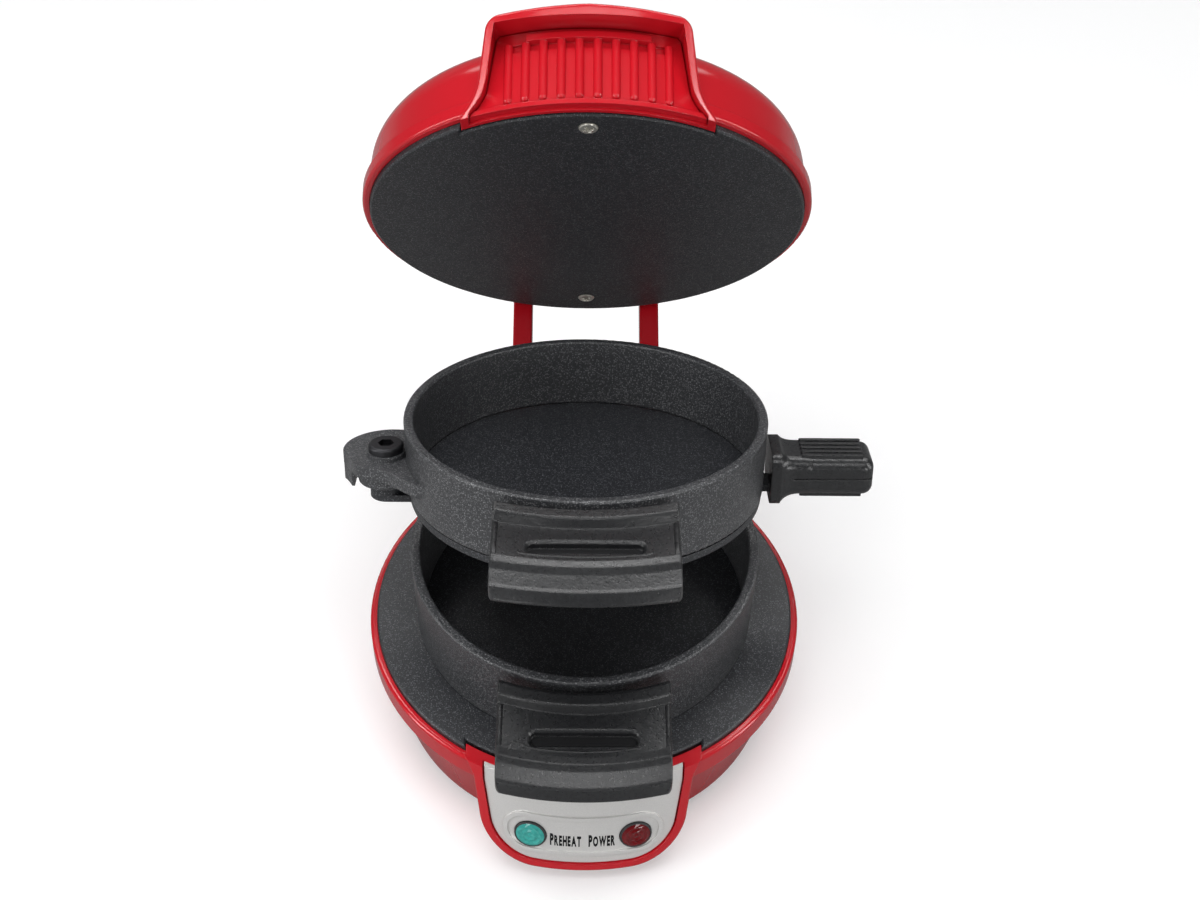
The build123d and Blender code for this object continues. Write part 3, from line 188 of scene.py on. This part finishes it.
# ---------------------------------------------------------------------------------------------------
# Shader building

MIX_SHARE = 0
MIX_LOW = 6
MIX_HIGH = 7
MIX_COLOUR = 2
SPECK_SHARPNESS = 8.0
BEVEL_SAMPLES = 4


def plug(tree, socket, value):
    """Links a signal or a socket into a socket, or sets a plain number or colour on it."""
    if isinstance(value, Signal):
        tree.links.new(value.socket, socket)
    elif isinstance(value, bpy.types.NodeSocket):
        tree.links.new(value, socket)
    else:
        socket.default_value = value


class Signal:
    """A number in a shader that Python arithmetic works on."""

    def __init__(self, tree, socket):
        self.tree = tree
        self.socket = socket

    def maths(self, operation, first, second=0.0, clamp=False):
        node = self.tree.nodes.new("ShaderNodeMath")
        node.operation = operation
        node.use_clamp = clamp
        plug(self.tree, node.inputs[0], first)
        plug(self.tree, node.inputs[1], second)
        return Signal(self.tree, node.outputs[0])

    def __add__(self, other):
        return self.maths("ADD", self, other)

    def __radd__(self, other):
        return self.maths("ADD", other, self)

    def __sub__(self, other):
        return self.maths("SUBTRACT", self, other)

    def __rsub__(self, other):
        return self.maths("SUBTRACT", other, self)

    def __mul__(self, other):
        return self.maths("MULTIPLY", self, other)

    def __rmul__(self, other):
        return self.maths("MULTIPLY", other, self)

    def clamped(self):
        return self.maths("ADD", self, 0.0, clamp=True)


class Finish:
    """A material under construction: its tree, its surface shader and the few nodes that finishes share."""

    def __init__(self, name):
        self.material = bpy.data.materials.new(name)
        self.material.use_nodes = True
        self.tree = self.material.node_tree
        self.tree.nodes.clear()
        self.surface = self.tree.nodes.new("ShaderNodeBsdfPrincipled")
        output = self.tree.nodes.new("ShaderNodeOutputMaterial")
        self.tree.links.new(self.surface.outputs[0], output.inputs[0])
        self.place = self.node("ShaderNodeTexCoord").outputs["Object"]

    def node(self, kind, settings=None, values=None):
        """A node of a kind, with its settings made first and then the values or links of its sockets."""
        made = self.tree.nodes.new(kind)
        for key, value in (settings or {}).items():
            setattr(made, key, value)
        for key, value in (values or {}).items():
            plug(self.tree, made.inputs[key], value)
        return made

    def noise(self, size, detail=2.0, roughness=0.5):
        """Noise whose blobs are about size millimetres across."""
        values = {"Vector": self.place, "Scale": 1 / (size * MM), "Detail": detail, "Roughness": roughness}
        made = self.node("ShaderNodeTexNoise", {"noise_dimensions": "3D"}, values)
        return Signal(self.tree, made.outputs["Fac"])

    def specks(self, size, reach):
        """Scattered dots in cells of a size in millimetres; reach is a dot's share of its cell."""
        values = {"Vector": self.place, "Scale": 1 / (size * MM), "Randomness": 1.0}
        made = self.node("ShaderNodeTexVoronoi", {"feature": "F1", "voronoi_dimensions": "3D"}, values)
        distance = Signal(self.tree, made.outputs["Distance"])
        chance = self.node("ShaderNodeSeparateColor", None, {"Color": made.outputs["Color"]})
        return ((reach - distance) * SPECK_SHARPNESS).clamped(), Signal(self.tree, chance.outputs[0])

    def blend(self, share, low, high):
        """Mixes two colours by a share from 0 to 1."""
        colours = {MIX_SHARE: share, MIX_LOW: (*low, 1.0), MIX_HIGH: (*high, 1.0)}
        return self.node("ShaderNodeMix", {"data_type": "RGBA"}, colours).outputs[MIX_COLOUR]

    def paint(self, **sockets):
        """Sets or links sockets of the surface, named in lower case with underlines."""
        for name, value in sockets.items():
            plug(self.tree, self.surface.inputs[name.replace("_", " ").title().replace("Ior", "IOR")], value)

    def bump(self, height, depth, edge=0.0):
        """Bumps the surface by a height, depth millimetres deep; edge is the radius that eases its edges."""
        made = self.node("ShaderNodeBump", None, {"Height": height, "Distance": depth * MM})
        if edge:
            eased = self.node("ShaderNodeBevel", {"samples": BEVEL_SAMPLES}, {"Radius": edge * MM})
            plug(self.tree, made.inputs["Normal"], eased.outputs[0])
        plug(self.tree, self.surface.inputs["Normal"], made.outputs[0])


# ---------------------------------------------------------------------------------------------------
# Finishes


def red_gloss(name="red gloss", edge=0.45):
    """Glossy moulded plastic, with the faint waviness of a polished mould."""
    finish = Finish(name)
    patch = finish.noise(26, detail=1.0)
    finish.paint(base_color=finish.blend(patch, (0.50, 0.007, 0.014), (0.54, 0.009, 0.018)))
    finish.paint(roughness=finish.noise(12, detail=1.0) * 0.06 + 0.13, specular_ior_level=0.5)
    finish.bump(finish.noise(9.0, detail=1.0), 0.008, edge=edge)
    return finish.material


def nonstick_plate():
    """Dark non-stick coating, strewn with fine pale specks over a slightly pebbled casting."""
    finish = Finish("speckled non-stick")
    dot, chance = finish.specks(0.45, 0.45)
    speck = dot * (chance - 0.35).clamped() * 1.6
    grain = finish.noise(0.45, detail=3.0)
    finish.paint(base_color=finish.blend(speck.clamped(), (0.018, 0.019, 0.022), (0.13, 0.135, 0.145)))
    finish.paint(roughness=0.46 - speck * 0.12 + (finish.noise(9) - 0.5) * 0.08, specular_ior_level=0.5)
    finish.bump(grain + finish.noise(1.3, detail=1.0) * 0.7, 0.12, edge=0.4)
    return finish.material


def nonstick_ring():
    """Dark grey coating on a cast hoop, with a soft sheen and a fine even grain."""
    finish = Finish("grey non-stick")
    dot, chance = finish.specks(0.5, 0.52)
    speck = dot * (chance - 0.3).clamped() * 1.3
    finish.paint(base_color=finish.blend(speck.clamped(), (0.035, 0.036, 0.039), (0.20, 0.203, 0.21)))
    finish.paint(roughness=finish.noise(3.0) * 0.10 + 0.30 - speck * 0.08, specular_ior_level=0.6)
    finish.bump(finish.noise(0.6, detail=3.0), 0.22, edge=0.5)
    return finish.material


def handle_plastic():
    """Heat-proof moulding with an eroded, leathery mould texture."""
    finish = Finish("handle moulding")
    grain = finish.noise(0.8, detail=3.0, roughness=0.6)
    mottle = (finish.noise(1.2, detail=4.0, roughness=0.65) * 2.0 - 0.5).clamped()
    finish.paint(base_color=finish.blend(mottle, (0.007, 0.0073, 0.008), (0.018, 0.0185, 0.020)))
    finish.paint(roughness=grain * 0.20 + 0.20, specular_ior_level=0.6)
    finish.bump(grain + finish.noise(2.2, detail=2.0) * 1.2, 0.055, edge=0.8)
    return finish.material


def silver_paint():
    """Satin silver paint full of fine flakes."""
    finish = Finish("satin silver")
    flake = finish.noise(0.35, detail=1.0)
    finish.paint(base_color=finish.blend(flake, (0.70, 0.69, 0.675), (0.84, 0.83, 0.81)))
    finish.paint(metallic=0.5, roughness=flake * 0.12 + 0.26, coat_weight=0.2, coat_roughness=0.2)
    finish.bump(flake, 0.006, edge=0.3)
    return finish.material


def metal(name, colour, roughness, metallic=1.0):
    """Bare or plated metal with fine turning or rolling marks."""
    finish = Finish(name)
    mark = finish.noise(2.0, detail=3.0)
    dim = tuple(0.82 * channel for channel in colour)
    finish.paint(base_color=finish.blend(mark, dim, colour))
    finish.paint(metallic=metallic, roughness=mark * 0.14 + roughness)
    finish.bump(mark, 0.008)
    return finish.material


def tinted_lens(name, deep, bright):
    """Clear coloured plastic, bright where its facets catch the light."""
    finish = Finish(name)
    finish.paint(base_color=finish.blend(finish.noise(1.2, detail=1.0), deep, bright))
    finish.paint(roughness=0.09, transmission_weight=0.2, ior=1.45)
    return finish.material


def dull_black(name, size, deep, pale, roughness):
    """Matt rubber or moulding with a fine grain."""
    finish = Finish(name)
    grain = finish.noise(size, detail=2.0)
    finish.paint(base_color=finish.blend(grain, deep, pale), roughness=grain * 0.15 + roughness)
    finish.bump(grain, 0.03)
    return finish.material


def lamp_glass():
    """Clear glass of the small lamps behind the lenses."""
    finish = Finish("lamp glass")
    finish.paint(base_color=(0.95, 0.9, 0.8, 1), roughness=finish.noise(2.0) * 0.04 + 0.03)
    finish.paint(transmission_weight=0.9, ior=1.5)
    return finish.material


def printed_ink_and_slot_shade():
    """Black ink, which also serves as the painted shade in the handles' slots."""
    finish = Finish("printed ink and painted slot shade")
    finish.paint(base_color=finish.blend(finish.noise(0.4), (0.004, 0.004, 0.005), (0.010, 0.010, 0.011)))
    finish.paint(roughness=0.6, specular_ior_level=0.2)
    return finish.material


FINISHES = {
    "red_gloss": red_gloss(),
    "black_moulding": dull_black("black moulding", 1.0, (0.026, 0.026, 0.028), (0.040, 0.040, 0.043), 0.5),
    "foot_rubber": dull_black("foot rubber", 0.8, (0.010, 0.010, 0.0105), (0.018, 0.018, 0.0185), 0.7),
    "silver_panel": silver_paint(),
    "green_lens": tinted_lens("green lens", (0.02, 0.30, 0.27), (0.10, 0.62, 0.55)),
    "red_lens": tinted_lens("red lens", (0.09, 0.002, 0.004), (0.26, 0.008, 0.012)),
    "lamp_glass": lamp_glass(),
    "nonstick_plate": nonstick_plate(),
    "nonstick_ring": nonstick_ring(),
    "handle_black": handle_plastic(),
    "plain_steel": metal("plated steel", (0.62, 0.60, 0.54), 0.28, metallic=0.75),
    "element_steel": metal("heat-tinted steel", (0.30, 0.27, 0.24), 0.35),
    "pan_metal": metal("bright aluminium", (0.80, 0.80, 0.81), 0.30),
    "dark_steel": metal("blackened steel", (0.07, 0.07, 0.075), 0.36),
}
CROWN_RED = red_gloss("red gloss crown", edge=0.0)
# The same black ink paints the shade in the handles' slots
INK_AND_SLOT_SHADE = printed_ink_and_slot_shade()


def dress_nodes():
    """Gives every CAD node the finish of its slot in the record."""
    for part in record["subparts"]:
        mesh = nodes[part["node"]].data
        mesh.materials.clear()
        mesh.materials.append(FINISHES[part["material_slot"]])


# ---------------------------------------------------------------------------------------------------
# Shared by the added pieces


def new_piece(name, points, faces, finishes, choices=None):
    """A mesh object at the origin, from points in millimetres; choices gives each face's finish."""
    mesh = bpy.data.meshes.new(name)
    mesh.from_pydata([Vector(point) * MM for point in points], [], faces)
    for finish in finishes:
        mesh.materials.append(finish)
    for index, polygon in enumerate(mesh.polygons):
        polygon.material_index = choices[index] if choices else 0
        polygon.use_smooth = False
    mesh.update()
    piece = bpy.data.objects.new(name, mesh)
    bpy.context.scene.collection.objects.link(piece)
    return piece


def turn_outwards(mesh):
    """Makes the faces of a closed mesh point outwards."""
    form = bmesh.new()
    form.from_mesh(mesh)
    bmesh.ops.recalc_face_normals(form, faces=form.faces)
    form.to_mesh(mesh)
    form.free()


def tube_faces(rows, count):
    """The side faces of rows of points that lie round a closed outline, count points to a row."""
    faces = []
    for row in range(rows - 1):
        for step in range(count):
            near, far = row * count + step, row * count + (step + 1) % count
            faces.append((near, far, far + count, near + count))
    return faces


def swung(point, angle):
    """A point of the shut maker, carried round the hinge pin by an angle in degrees."""
    x, y, z = point
    turn = -math.radians(angle)
    back, rise = y - HINGE_BACK, z - HINGE_HEIGHT
    swung_back = back * math.cos(turn) - rise * math.sin(turn)
    swung_rise = back * math.sin(turn) + rise * math.cos(turn)
    return Vector((x, HINGE_BACK + swung_back, HINGE_HEIGHT + swung_rise))


# ---------------------------------------------------------------------------------------------------
# Front panel: two faceted lenses with dark rims, and the printed words between them


def lens_frame(side):
    """The middle of a lens on the panel frame's face, and its across, up and outward directions."""
    reach = PANEL_FOOT_REACH - (LENS_HEIGHT - PANEL_FOOT) * PANEL_LEAN
    turn = side * math.asin(LENS_REACH / reach)
    tilt = math.atan(PANEL_LEAN)
    outward = Vector((math.sin(turn) * math.cos(tilt), -math.cos(turn) * math.cos(tilt), math.sin(tilt)))
    across = Vector((math.cos(turn), math.sin(turn), 0))
    middle = Vector((reach * math.sin(turn), -reach * math.cos(turn), LENS_HEIGHT))
    return middle, across, outward.cross(across), outward


def faceted_lens(name, side, finish, body):
    """A lens with a dark rim and a dome cut into diamond facets that step inwards round by round."""
    middle, across, up, outward = lens_frame(side)
    rounds = [(LENS_RADIUS, -LENS_BASE)]
    rounds += [(LENS_RADIUS - inset, LENS_PROUD - depth) for inset, depth in LENS_RIM]
    rim_rows = len(rounds)
    rounds += [(radius, LENS_PROUD - depth) for radius, depth in LENS_FACETS]
    points = []
    for row, (radius, height) in enumerate(rounds):
        twist = 0.5 * (row % 2) if row >= rim_rows else 0.0
        for step in range(LENS_STEPS):
            angle = math.tau * (step + twist) / LENS_STEPS
            flat = middle + across * (radius * math.cos(angle)) + up * (radius * math.sin(angle))
            points.append(flat + outward * height)
    points.append(middle + outward * LENS_PROUD)
    points.append(middle - outward * LENS_BASE)
    faces = tube_faces(rim_rows + 1, LENS_STEPS)
    choices = [1 if index < DARK_ROWS * LENS_STEPS else 0 for index in range(len(faces))]
    for row in range(rim_rows, len(rounds) - 1):
        for step in range(LENS_STEPS):
            near, far = row * LENS_STEPS + step, row * LENS_STEPS + (step + 1) % LENS_STEPS
            ahead = step if row % 2 else (step + 1) % LENS_STEPS
            other = (row + 1) * LENS_STEPS + ahead
            previous = (row + 1) * LENS_STEPS + (ahead - 1) % LENS_STEPS
            faces.extend(((near, far, other), (near, other, previous)))
            choices.extend((0, 0))
    last = (len(rounds) - 1) * LENS_STEPS
    for step in range(LENS_STEPS):
        faces.append((last + step, last + (step + 1) % LENS_STEPS, len(points) - 2))
        faces.append(((step + 1) % LENS_STEPS, step, len(points) - 1))
        choices.extend((0, 1))
    finishes = [FINISHES[finish], FINISHES["black_moulding"]]
    piece = new_piece(name + "_faceted", points, faces, finishes, choices)
    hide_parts(name)
    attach(piece, body)


def panel_point(across, height, lift):
    """A point on the panel's round leaning face, across millimetres round from its middle, lifted off it."""
    reach = PANEL_FOOT_REACH - (height - PANEL_FOOT) * PANEL_LEAN - PANEL_FACE
    turn = across / reach
    return Vector(((reach + lift) * math.sin(turn), -(reach + lift) * math.cos(turn), height))


def letter_shape(letter):
    """One letter's flat mesh from the built-in font: its points and its faces."""
    curve = bpy.data.curves.new("letter", "FONT")
    curve.body = letter
    curve.offset = LETTER_WEIGHT
    curve.resolution_u = LETTER_CURVE_STEPS
    holder = bpy.data.objects.new("letter", curve)
    bpy.context.scene.collection.objects.link(holder)
    bpy.context.view_layer.update()
    mesh = bpy.data.meshes.new_from_object(holder.evaluated_get(bpy.context.evaluated_depsgraph_get()))
    points = [point.co.copy() for point in mesh.vertices]
    faces = [tuple(polygon.vertices) for polygon in mesh.polygons]
    bpy.data.objects.remove(holder)
    bpy.data.curves.remove(curve)
    bpy.data.meshes.remove(mesh)
    return points, faces


def printed_word(word, left, right):
    """A condensed word printed on the panel between two places, its first letter taller than the rest."""
    shapes = []
    width = -LETTER_GAP
    for index, letter in enumerate(word):
        points, faces = letter_shape(letter)
        lowest = min(point.y for point in points)
        highest = max(point.y for point in points)
        start = min(point.x for point in points)
        up = (WORD_SMALL if index else WORD_TALL) / (highest - lowest)
        placed = [((point.x - start) * up * LETTER_SQUEEZE, (point.y - lowest) * up) for point in points]
        shapes.append((placed, faces, width + LETTER_GAP))
        width += LETTER_GAP + max(x for x, y in placed)
    fit = (right - left) / width
    points = []
    faces = []
    for placed, letter_faces, start in shapes:
        first = len(points)
        points.extend(panel_point(left + (start + x) * fit, WORD_FOOT + y, INK_LIFT) for x, y in placed)
        faces.extend(tuple(first + corner for corner in face) for face in letter_faces)
    piece = new_piece("word_" + word.lower(), points, faces, [INK_AND_SLOT_SHADE])
    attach(piece, "base")


# ---------------------------------------------------------------------------------------------------
# Lid: cross-head screws in its plate, and the cap over its dome's pole


def cross_depth(x, y):
    """Depth of a cross recess at a place on a screw's head, with sloping sides and ends."""
    arms = []
    for side, along in ((x, y), (y, x)):
        from_side = (CROSS_HALF_WIDTH - abs(side)) / CROSS_SIDE_SLOPE
        from_end = (CROSS_REACH - abs(along)) / CROSS_END_SLOPE
        arms.append(min(from_side, from_end))
    return CROSS_DEPTH * max(0.0, min(1.0, max(arms)))


def cross_head(name, place, turn):
    """A low domed screw head under the lid's plate, with a cross recess turned by an angle in radians."""
    profile = list(HEAD_SIDE)
    for row in range(HEAD_ROUNDS):
        radius = HEAD_DOME_EDGE * (1 - row / HEAD_ROUNDS)
        profile.append((radius, -HEAD_BRIM - HEAD_DOME * (1 - (radius / HEAD_EDGE) ** 2)))
    points = []
    for radius, height in profile:
        for step in range(HEAD_STEPS):
            angle = math.tau * step / HEAD_STEPS
            x, y = radius * math.cos(angle), radius * math.sin(angle)
            sunk = cross_depth(*(Matrix.Rotation(turn, 2) @ Vector((x, y))))
            points.append(swung((place[0] + x, place[1] + y, place[2] + height + sunk), LID_OPENING))
    middle = place[2] - HEAD_BRIM - HEAD_DOME + cross_depth(0, 0)
    points.append(swung((place[0], place[1], middle), LID_OPENING))
    last = (len(profile) - 1) * HEAD_STEPS
    faces = [(near, ahead, across, far) for near, far, across, ahead in tube_faces(len(profile), HEAD_STEPS)]
    faces += [(last + step, len(points) - 1, last + (step + 1) % HEAD_STEPS) for step in range(HEAD_STEPS)]
    faces.append(tuple(range(HEAD_STEPS)))
    piece = new_piece(name, points, faces, [FINISHES["plain_steel"]])
    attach(piece, "lid_body")


def round_normals(mesh, centre, flat_count):
    """Gives a mesh the exact normals of a ball round a centre, except on its first faces."""
    normals = []
    for polygon in mesh.polygons:
        polygon.use_smooth = polygon.index >= flat_count
        for corner in polygon.loop_indices:
            place = mesh.vertices[mesh.loops[corner].vertex_index].co
            normals.append((place - centre).normalized() if polygon.use_smooth else polygon.normal.copy())
    mesh.normals_split_custom_set(normals)
    mesh.update()


def crown_spot():
    """A smooth round cap, flush with the lid's crown, over the pole of the dome's surface."""
    levels = [(-CROWN_SKIRT, CROWN_ROUNDS)] + [(CROWN_LIFT, row) for row in range(CROWN_ROUNDS, 0, -1)]
    points = []
    for rise, row in levels:
        radius = CROWN_SPOT * row / CROWN_ROUNDS
        height = CROWN_TOP - CROWN_RADIUS + math.sqrt(CROWN_RADIUS**2 - radius**2) + rise
        for step in range(CROWN_STEPS):
            turn = math.tau * step / CROWN_STEPS
            points.append(swung((radius * math.cos(turn), radius * math.sin(turn), height), LID_OPENING))
    points.append(swung((0, 0, CROWN_TOP + CROWN_LIFT), LID_OPENING))
    last = CROWN_ROUNDS * CROWN_STEPS
    faces = [tuple(reversed(range(CROWN_STEPS)))]
    faces += tube_faces(len(levels), CROWN_STEPS)
    faces += [(last + step, last + (step + 1) % CROWN_STEPS, len(points) - 1) for step in range(CROWN_STEPS)]
    piece = new_piece("crown_spot", points, faces, [CROWN_RED])
    turn_outwards(piece.data)
    round_normals(piece.data, swung((0, 0, CROWN_TOP - CROWN_RADIUS), LID_OPENING) * MM, CROWN_STEPS + 1)
    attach(piece, "lid_body")


# ---------------------------------------------------------------------------------------------------
# Ring handles: raised rims and a line on their faces, and a dark sheet of painted shade in their slots


def face_height(reach):
    """Height of the handle's face over its reach, from the rear bead down to the brow."""
    share = (reach - FACE_REAR) / (FACE_FRONT - FACE_REAR)
    return -FACE_REAR_DROP - share * (FACE_FRONT_DROP - FACE_REAR_DROP)


def handle_point(across, reach, height, top, angle):
    """A point of a handle: reach is its distance from the bend's axis, height is above its ring's top."""
    back = HANDLE_BEND_BACK - math.sqrt(reach**2 - across**2)
    return swung((across, back, top + height), angle)


def swept_ridge(name, path, section, top, angle, body):
    """A closed ridge on a handle's face: its section follows a path of across, reach and height share."""
    points = []
    for index, (across, reach, share) in enumerate(path):
        before, after = path[max(index - 1, 0)], path[min(index + 1, len(path) - 1)]
        way = Vector((after[0] - before[0], after[1] - before[1])).normalized()
        for offset, up in section:
            x, r = across + way.y * offset, reach - way.x * offset
            height = face_height(r) + up * (share if up > 0 else 1)
            points.append(handle_point(x, r, height, top, angle))
    count = len(section)
    faces = tube_faces(len(path), count)
    faces.append(tuple(reversed(range(count))))
    faces.append(tuple(range((len(path) - 1) * count, len(path) * count)))
    piece = new_piece(name, points, faces, [FINISHES["handle_black"]])
    turn_outwards(piece.data)
    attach(piece, body)


def handle_ridges(name, top, angle, body):
    """The raised rims down both sides of a handle's face and the low line across it near the brow."""
    for side, word in ((-1, "left"), (1, "right")):
        path = []
        for step in range(RIM_STEPS + 1):
            reach = RIM_REAR + RIM_LENGTH * step / RIM_STEPS
            from_rear = RIM_REAR_SHARE + step / RIM_TAPER_STEPS
            from_front = RIM_FRONT_SHARE + (RIM_STEPS - step) / RIM_TAPER_STEPS
            path.append((side * RIM_OUT, reach, min(1.0, from_rear, from_front)))
        swept_ridge(f"{name}_{word}_rim", path, RIM_SECTION, top, angle, body)
    path = []
    for step in range(LINE_STEPS + 1):
        across = -LINE_HALF + 2 * LINE_HALF * step / LINE_STEPS
        near_end = max(0.0, abs(across) - LINE_FULL_HALF) / (LINE_HALF - LINE_FULL_HALF)
        share = min(1.0, LINE_END_SHARE + LINE_GROWTH * (1 - near_end))
        path.append((across, LINE_REACH - LINE_END_BEND * near_end**2, share))
    swept_ridge(f"{name}_line", path, LINE_SECTION, top, angle, body)


def painted_slot_shade(name, top, angle, body):
    """A dished matt black sheet on the floor of a handle's slot, with round ends: painted shade that makes
    the slot read dark.
    """
    outline = []
    for end in (1, -1):
        for step in range(SLOT_END_STEPS + 1):
            turn = math.radians(-90 + 180 * step / SLOT_END_STEPS)
            x = end * (SLOT_HALF - SLOT_HALF_WIDTH + SLOT_HALF_WIDTH * math.cos(turn))
            outline.append((x, end * SLOT_HALF_WIDTH * math.sin(turn)))
    points = []
    for share, rise in SLOT_LEVELS:
        shrink = SLOT_HALF_WIDTH * (1 - share)
        for x, y in outline:
            inner_x = x - math.copysign(min(shrink, abs(x)), x)
            points.append(swung((inner_x, y * share - SLOT_REACH, top - SLOT_FLOOR + rise), angle))
    count = len(outline)
    last = (len(SLOT_LEVELS) - 1) * count
    faces = [tuple(reversed(range(count))), tuple(range(last, last + count))]
    faces += tube_faces(len(SLOT_LEVELS), count)
    piece = new_piece(name, points, faces, [INK_AND_SLOT_SHADE])
    turn_outwards(piece.data)
    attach(piece, body)


# ---------------------------------------------------------------------------------------------------
# Studio: floor, backdrop, lights and camera


def studio_floor():
    """A pale floor that bends up into the backdrop."""
    half = FLOOR_SIZE / 2
    profile = [(-half, 0.0), (SWEEP_START, 0.0)]
    for step in range(1, SWEEP_STEPS + 1):
        angle = math.radians(90 * step / SWEEP_STEPS)
        profile.append((SWEEP_START + SWEEP_RADIUS * math.sin(angle), SWEEP_RADIUS * (1 - math.cos(angle))))
    profile.append((SWEEP_START + SWEEP_RADIUS, BACKDROP_TOP))
    mesh = bpy.data.meshes.new("studio_floor")
    points = [(side * half, y, z) for y, z in profile for side in (-1, 1)]
    faces = [(2 * i, 2 * i + 1, 2 * i + 3, 2 * i + 2) for i in range(len(profile) - 1)]
    mesh.from_pydata(points, [], faces)
    mesh.update()
    floor = bpy.data.objects.new("studio_floor", mesh)
    bpy.context.scene.collection.objects.link(floor)
    finish = Finish("studio paper")
    path = finish.node("ShaderNodeLightPath")
    seen = Signal(finish.tree, path.outputs["Is Camera Ray"])
    finish.paint(base_color=finish.blend(seen, PAPER_LIT, PAPER_SHOWN))
    finish.paint(emission_color=finish.blend(seen, BLACK, PAPER_GLOW), emission_strength=1.0)
    finish.paint(roughness=0.85, specular_ior_level=0.1)
    mesh.materials.append(finish.material)
    for polygon in mesh.polygons:
        polygon.use_smooth = True


def softbox(name, place, target, width, height, power, share="both"):
    """A rectangular area light that faces a target, for diffuse light, for highlights or for both."""
    lamp = bpy.data.lights.new(name, "AREA")
    lamp.shape = "RECTANGLE"
    lamp.size = width
    lamp.size_y = height
    lamp.energy = power
    holder = bpy.data.objects.new(name, lamp)
    holder.location = place
    holder.rotation_euler = (Vector(target) - Vector(place)).to_track_quat("-Z", "Y").to_euler()
    holder.visible_camera = False
    holder.visible_glossy = share != "fill"
    holder.visible_diffuse = share != "shine"
    bpy.context.scene.collection.objects.link(holder)


def studio_lights():
    """Soft boxes that light the maker, strips that only shine on it, and a pale sky."""
    softbox("top_box", (0.0, -0.1, 1.4), MAKER_MIDDLE, 1.1, 0.9, 14.0, "fill")
    softbox("left_box", (-1.05, -0.5, 0.7), MAKER_MIDDLE, 0.5, 0.8, 5.0, "fill")
    softbox("front_left_box", (-0.6, -1.15, 0.42), MAKER_MIDDLE, 0.35, 0.35, 2.6)
    softbox("front_right_box", (0.7, -1.1, 0.42), MAKER_MIDDLE, 0.35, 0.35, 3.4)
    softbox("left_strip", (-1.0, -0.25, 0.55), MAKER_MIDDLE, 0.14, 1.1, 6.0, "shine")
    softbox("right_strip", (1.0, -0.25, 0.55), MAKER_MIDDLE, 0.12, 1.1, 6.0, "shine")
    softbox("brow_strip", (0.0, -0.62, 1.35), RINGS_MIDDLE, 1.0, 0.16, 4.0, "shine")
    softbox("top_strip", (0.0, 0.66, 1.25), MAKER_MIDDLE, 1.7, 0.22, 11.0, "shine")
    softbox("back_strip", (0.0, 1.05, 0.85), MAKER_MIDDLE, 1.8, 0.3, 5.0, "shine")
    world = bpy.data.worlds.new("studio_world")
    world.use_nodes = True
    tree = world.node_tree
    background = tree.nodes["Background"]
    background.inputs[0].default_value = SKY_COLOUR
    path = tree.nodes.new("ShaderNodeLightPath")
    shown = Signal(tree, path.outputs["Is Camera Ray"])
    mirrored = Signal(tree, path.outputs["Is Glossy Ray"])
    plug(tree, background.inputs[1], shown * SKY_SHOWN_MORE + mirrored * SKY_MIRRORED_MORE + SKY_LIGHT)
    bpy.context.scene.world = world


def fitted_camera():
    """The camera at its fitted place, turned by yaw, pitch and roll."""
    pitch, yaw, roll = (math.radians(angle) for angle in (CAMERA_PITCH, CAMERA_YAW, CAMERA_ROLL))
    forward = Vector((math.sin(yaw) * math.cos(pitch), math.cos(yaw) * math.cos(pitch), -math.sin(pitch)))
    right = forward.cross(Vector((0, 0, 1))).normalized()
    up = right.cross(forward)
    turned_right = right * math.cos(roll) + up * math.sin(roll)
    turned_up = up * math.cos(roll) - right * math.sin(roll)
    turn = Matrix((turned_right, turned_up, -forward)).transposed()
    lens = bpy.data.cameras.new("studio_camera")
    lens.sensor_width = SENSOR
    lens.lens = FOCAL_PIXELS / PICTURE_WIDTH * SENSOR
    lens.shift_x = -CENTRE_OFFSET[0] / PICTURE_WIDTH
    lens.shift_y = CENTRE_OFFSET[1] / PICTURE_WIDTH
    lens.clip_start = CAMERA_CLIP
    camera = bpy.data.objects.new("studio_camera", lens)
    camera.matrix_world = Matrix.Translation(CAMERA_PLACE) @ turn.to_4x4()
    bpy.context.scene.collection.objects.link(camera)
    bpy.context.scene.camera = camera


# ---------------------------------------------------------------------------------------------------
# The maker is dressed and the studio is set up

dress_nodes()
crown_spot()
# Black sheets in the handles' slots are painted shade
painted_slot_shade("lower_painted_slot_shade", LOWER_RING_TOP, 0.0, "lower_ring_body")
painted_slot_shade("upper_painted_slot_shade", UPPER_RING_TOP, RING_OPENING, "upper_ring_body")
cross_head("lid_screw_front", (0, -PLATE_SCREW_REACH, LID_FACE), FRONT_CROSS_TURN)
cross_head("lid_screw_rear", (0, PLATE_SCREW_REACH, LID_FACE), REAR_CROSS_TURN)
handle_ridges("lower_handle", LOWER_RING_TOP, 0.0, "lower_ring_body")
handle_ridges("upper_handle", UPPER_RING_TOP, RING_OPENING, "upper_ring_body")
faceted_lens("preheat_lens", -1, "green_lens", "base")
faceted_lens("power_lens", 1, "red_lens", "base")
for word, (left, right) in WORDS.items():
    printed_word(word, left, right)

studio_floor()
studio_lights()
fitted_camera()
bpy.context.scene.view_settings.view_transform = "Standard"
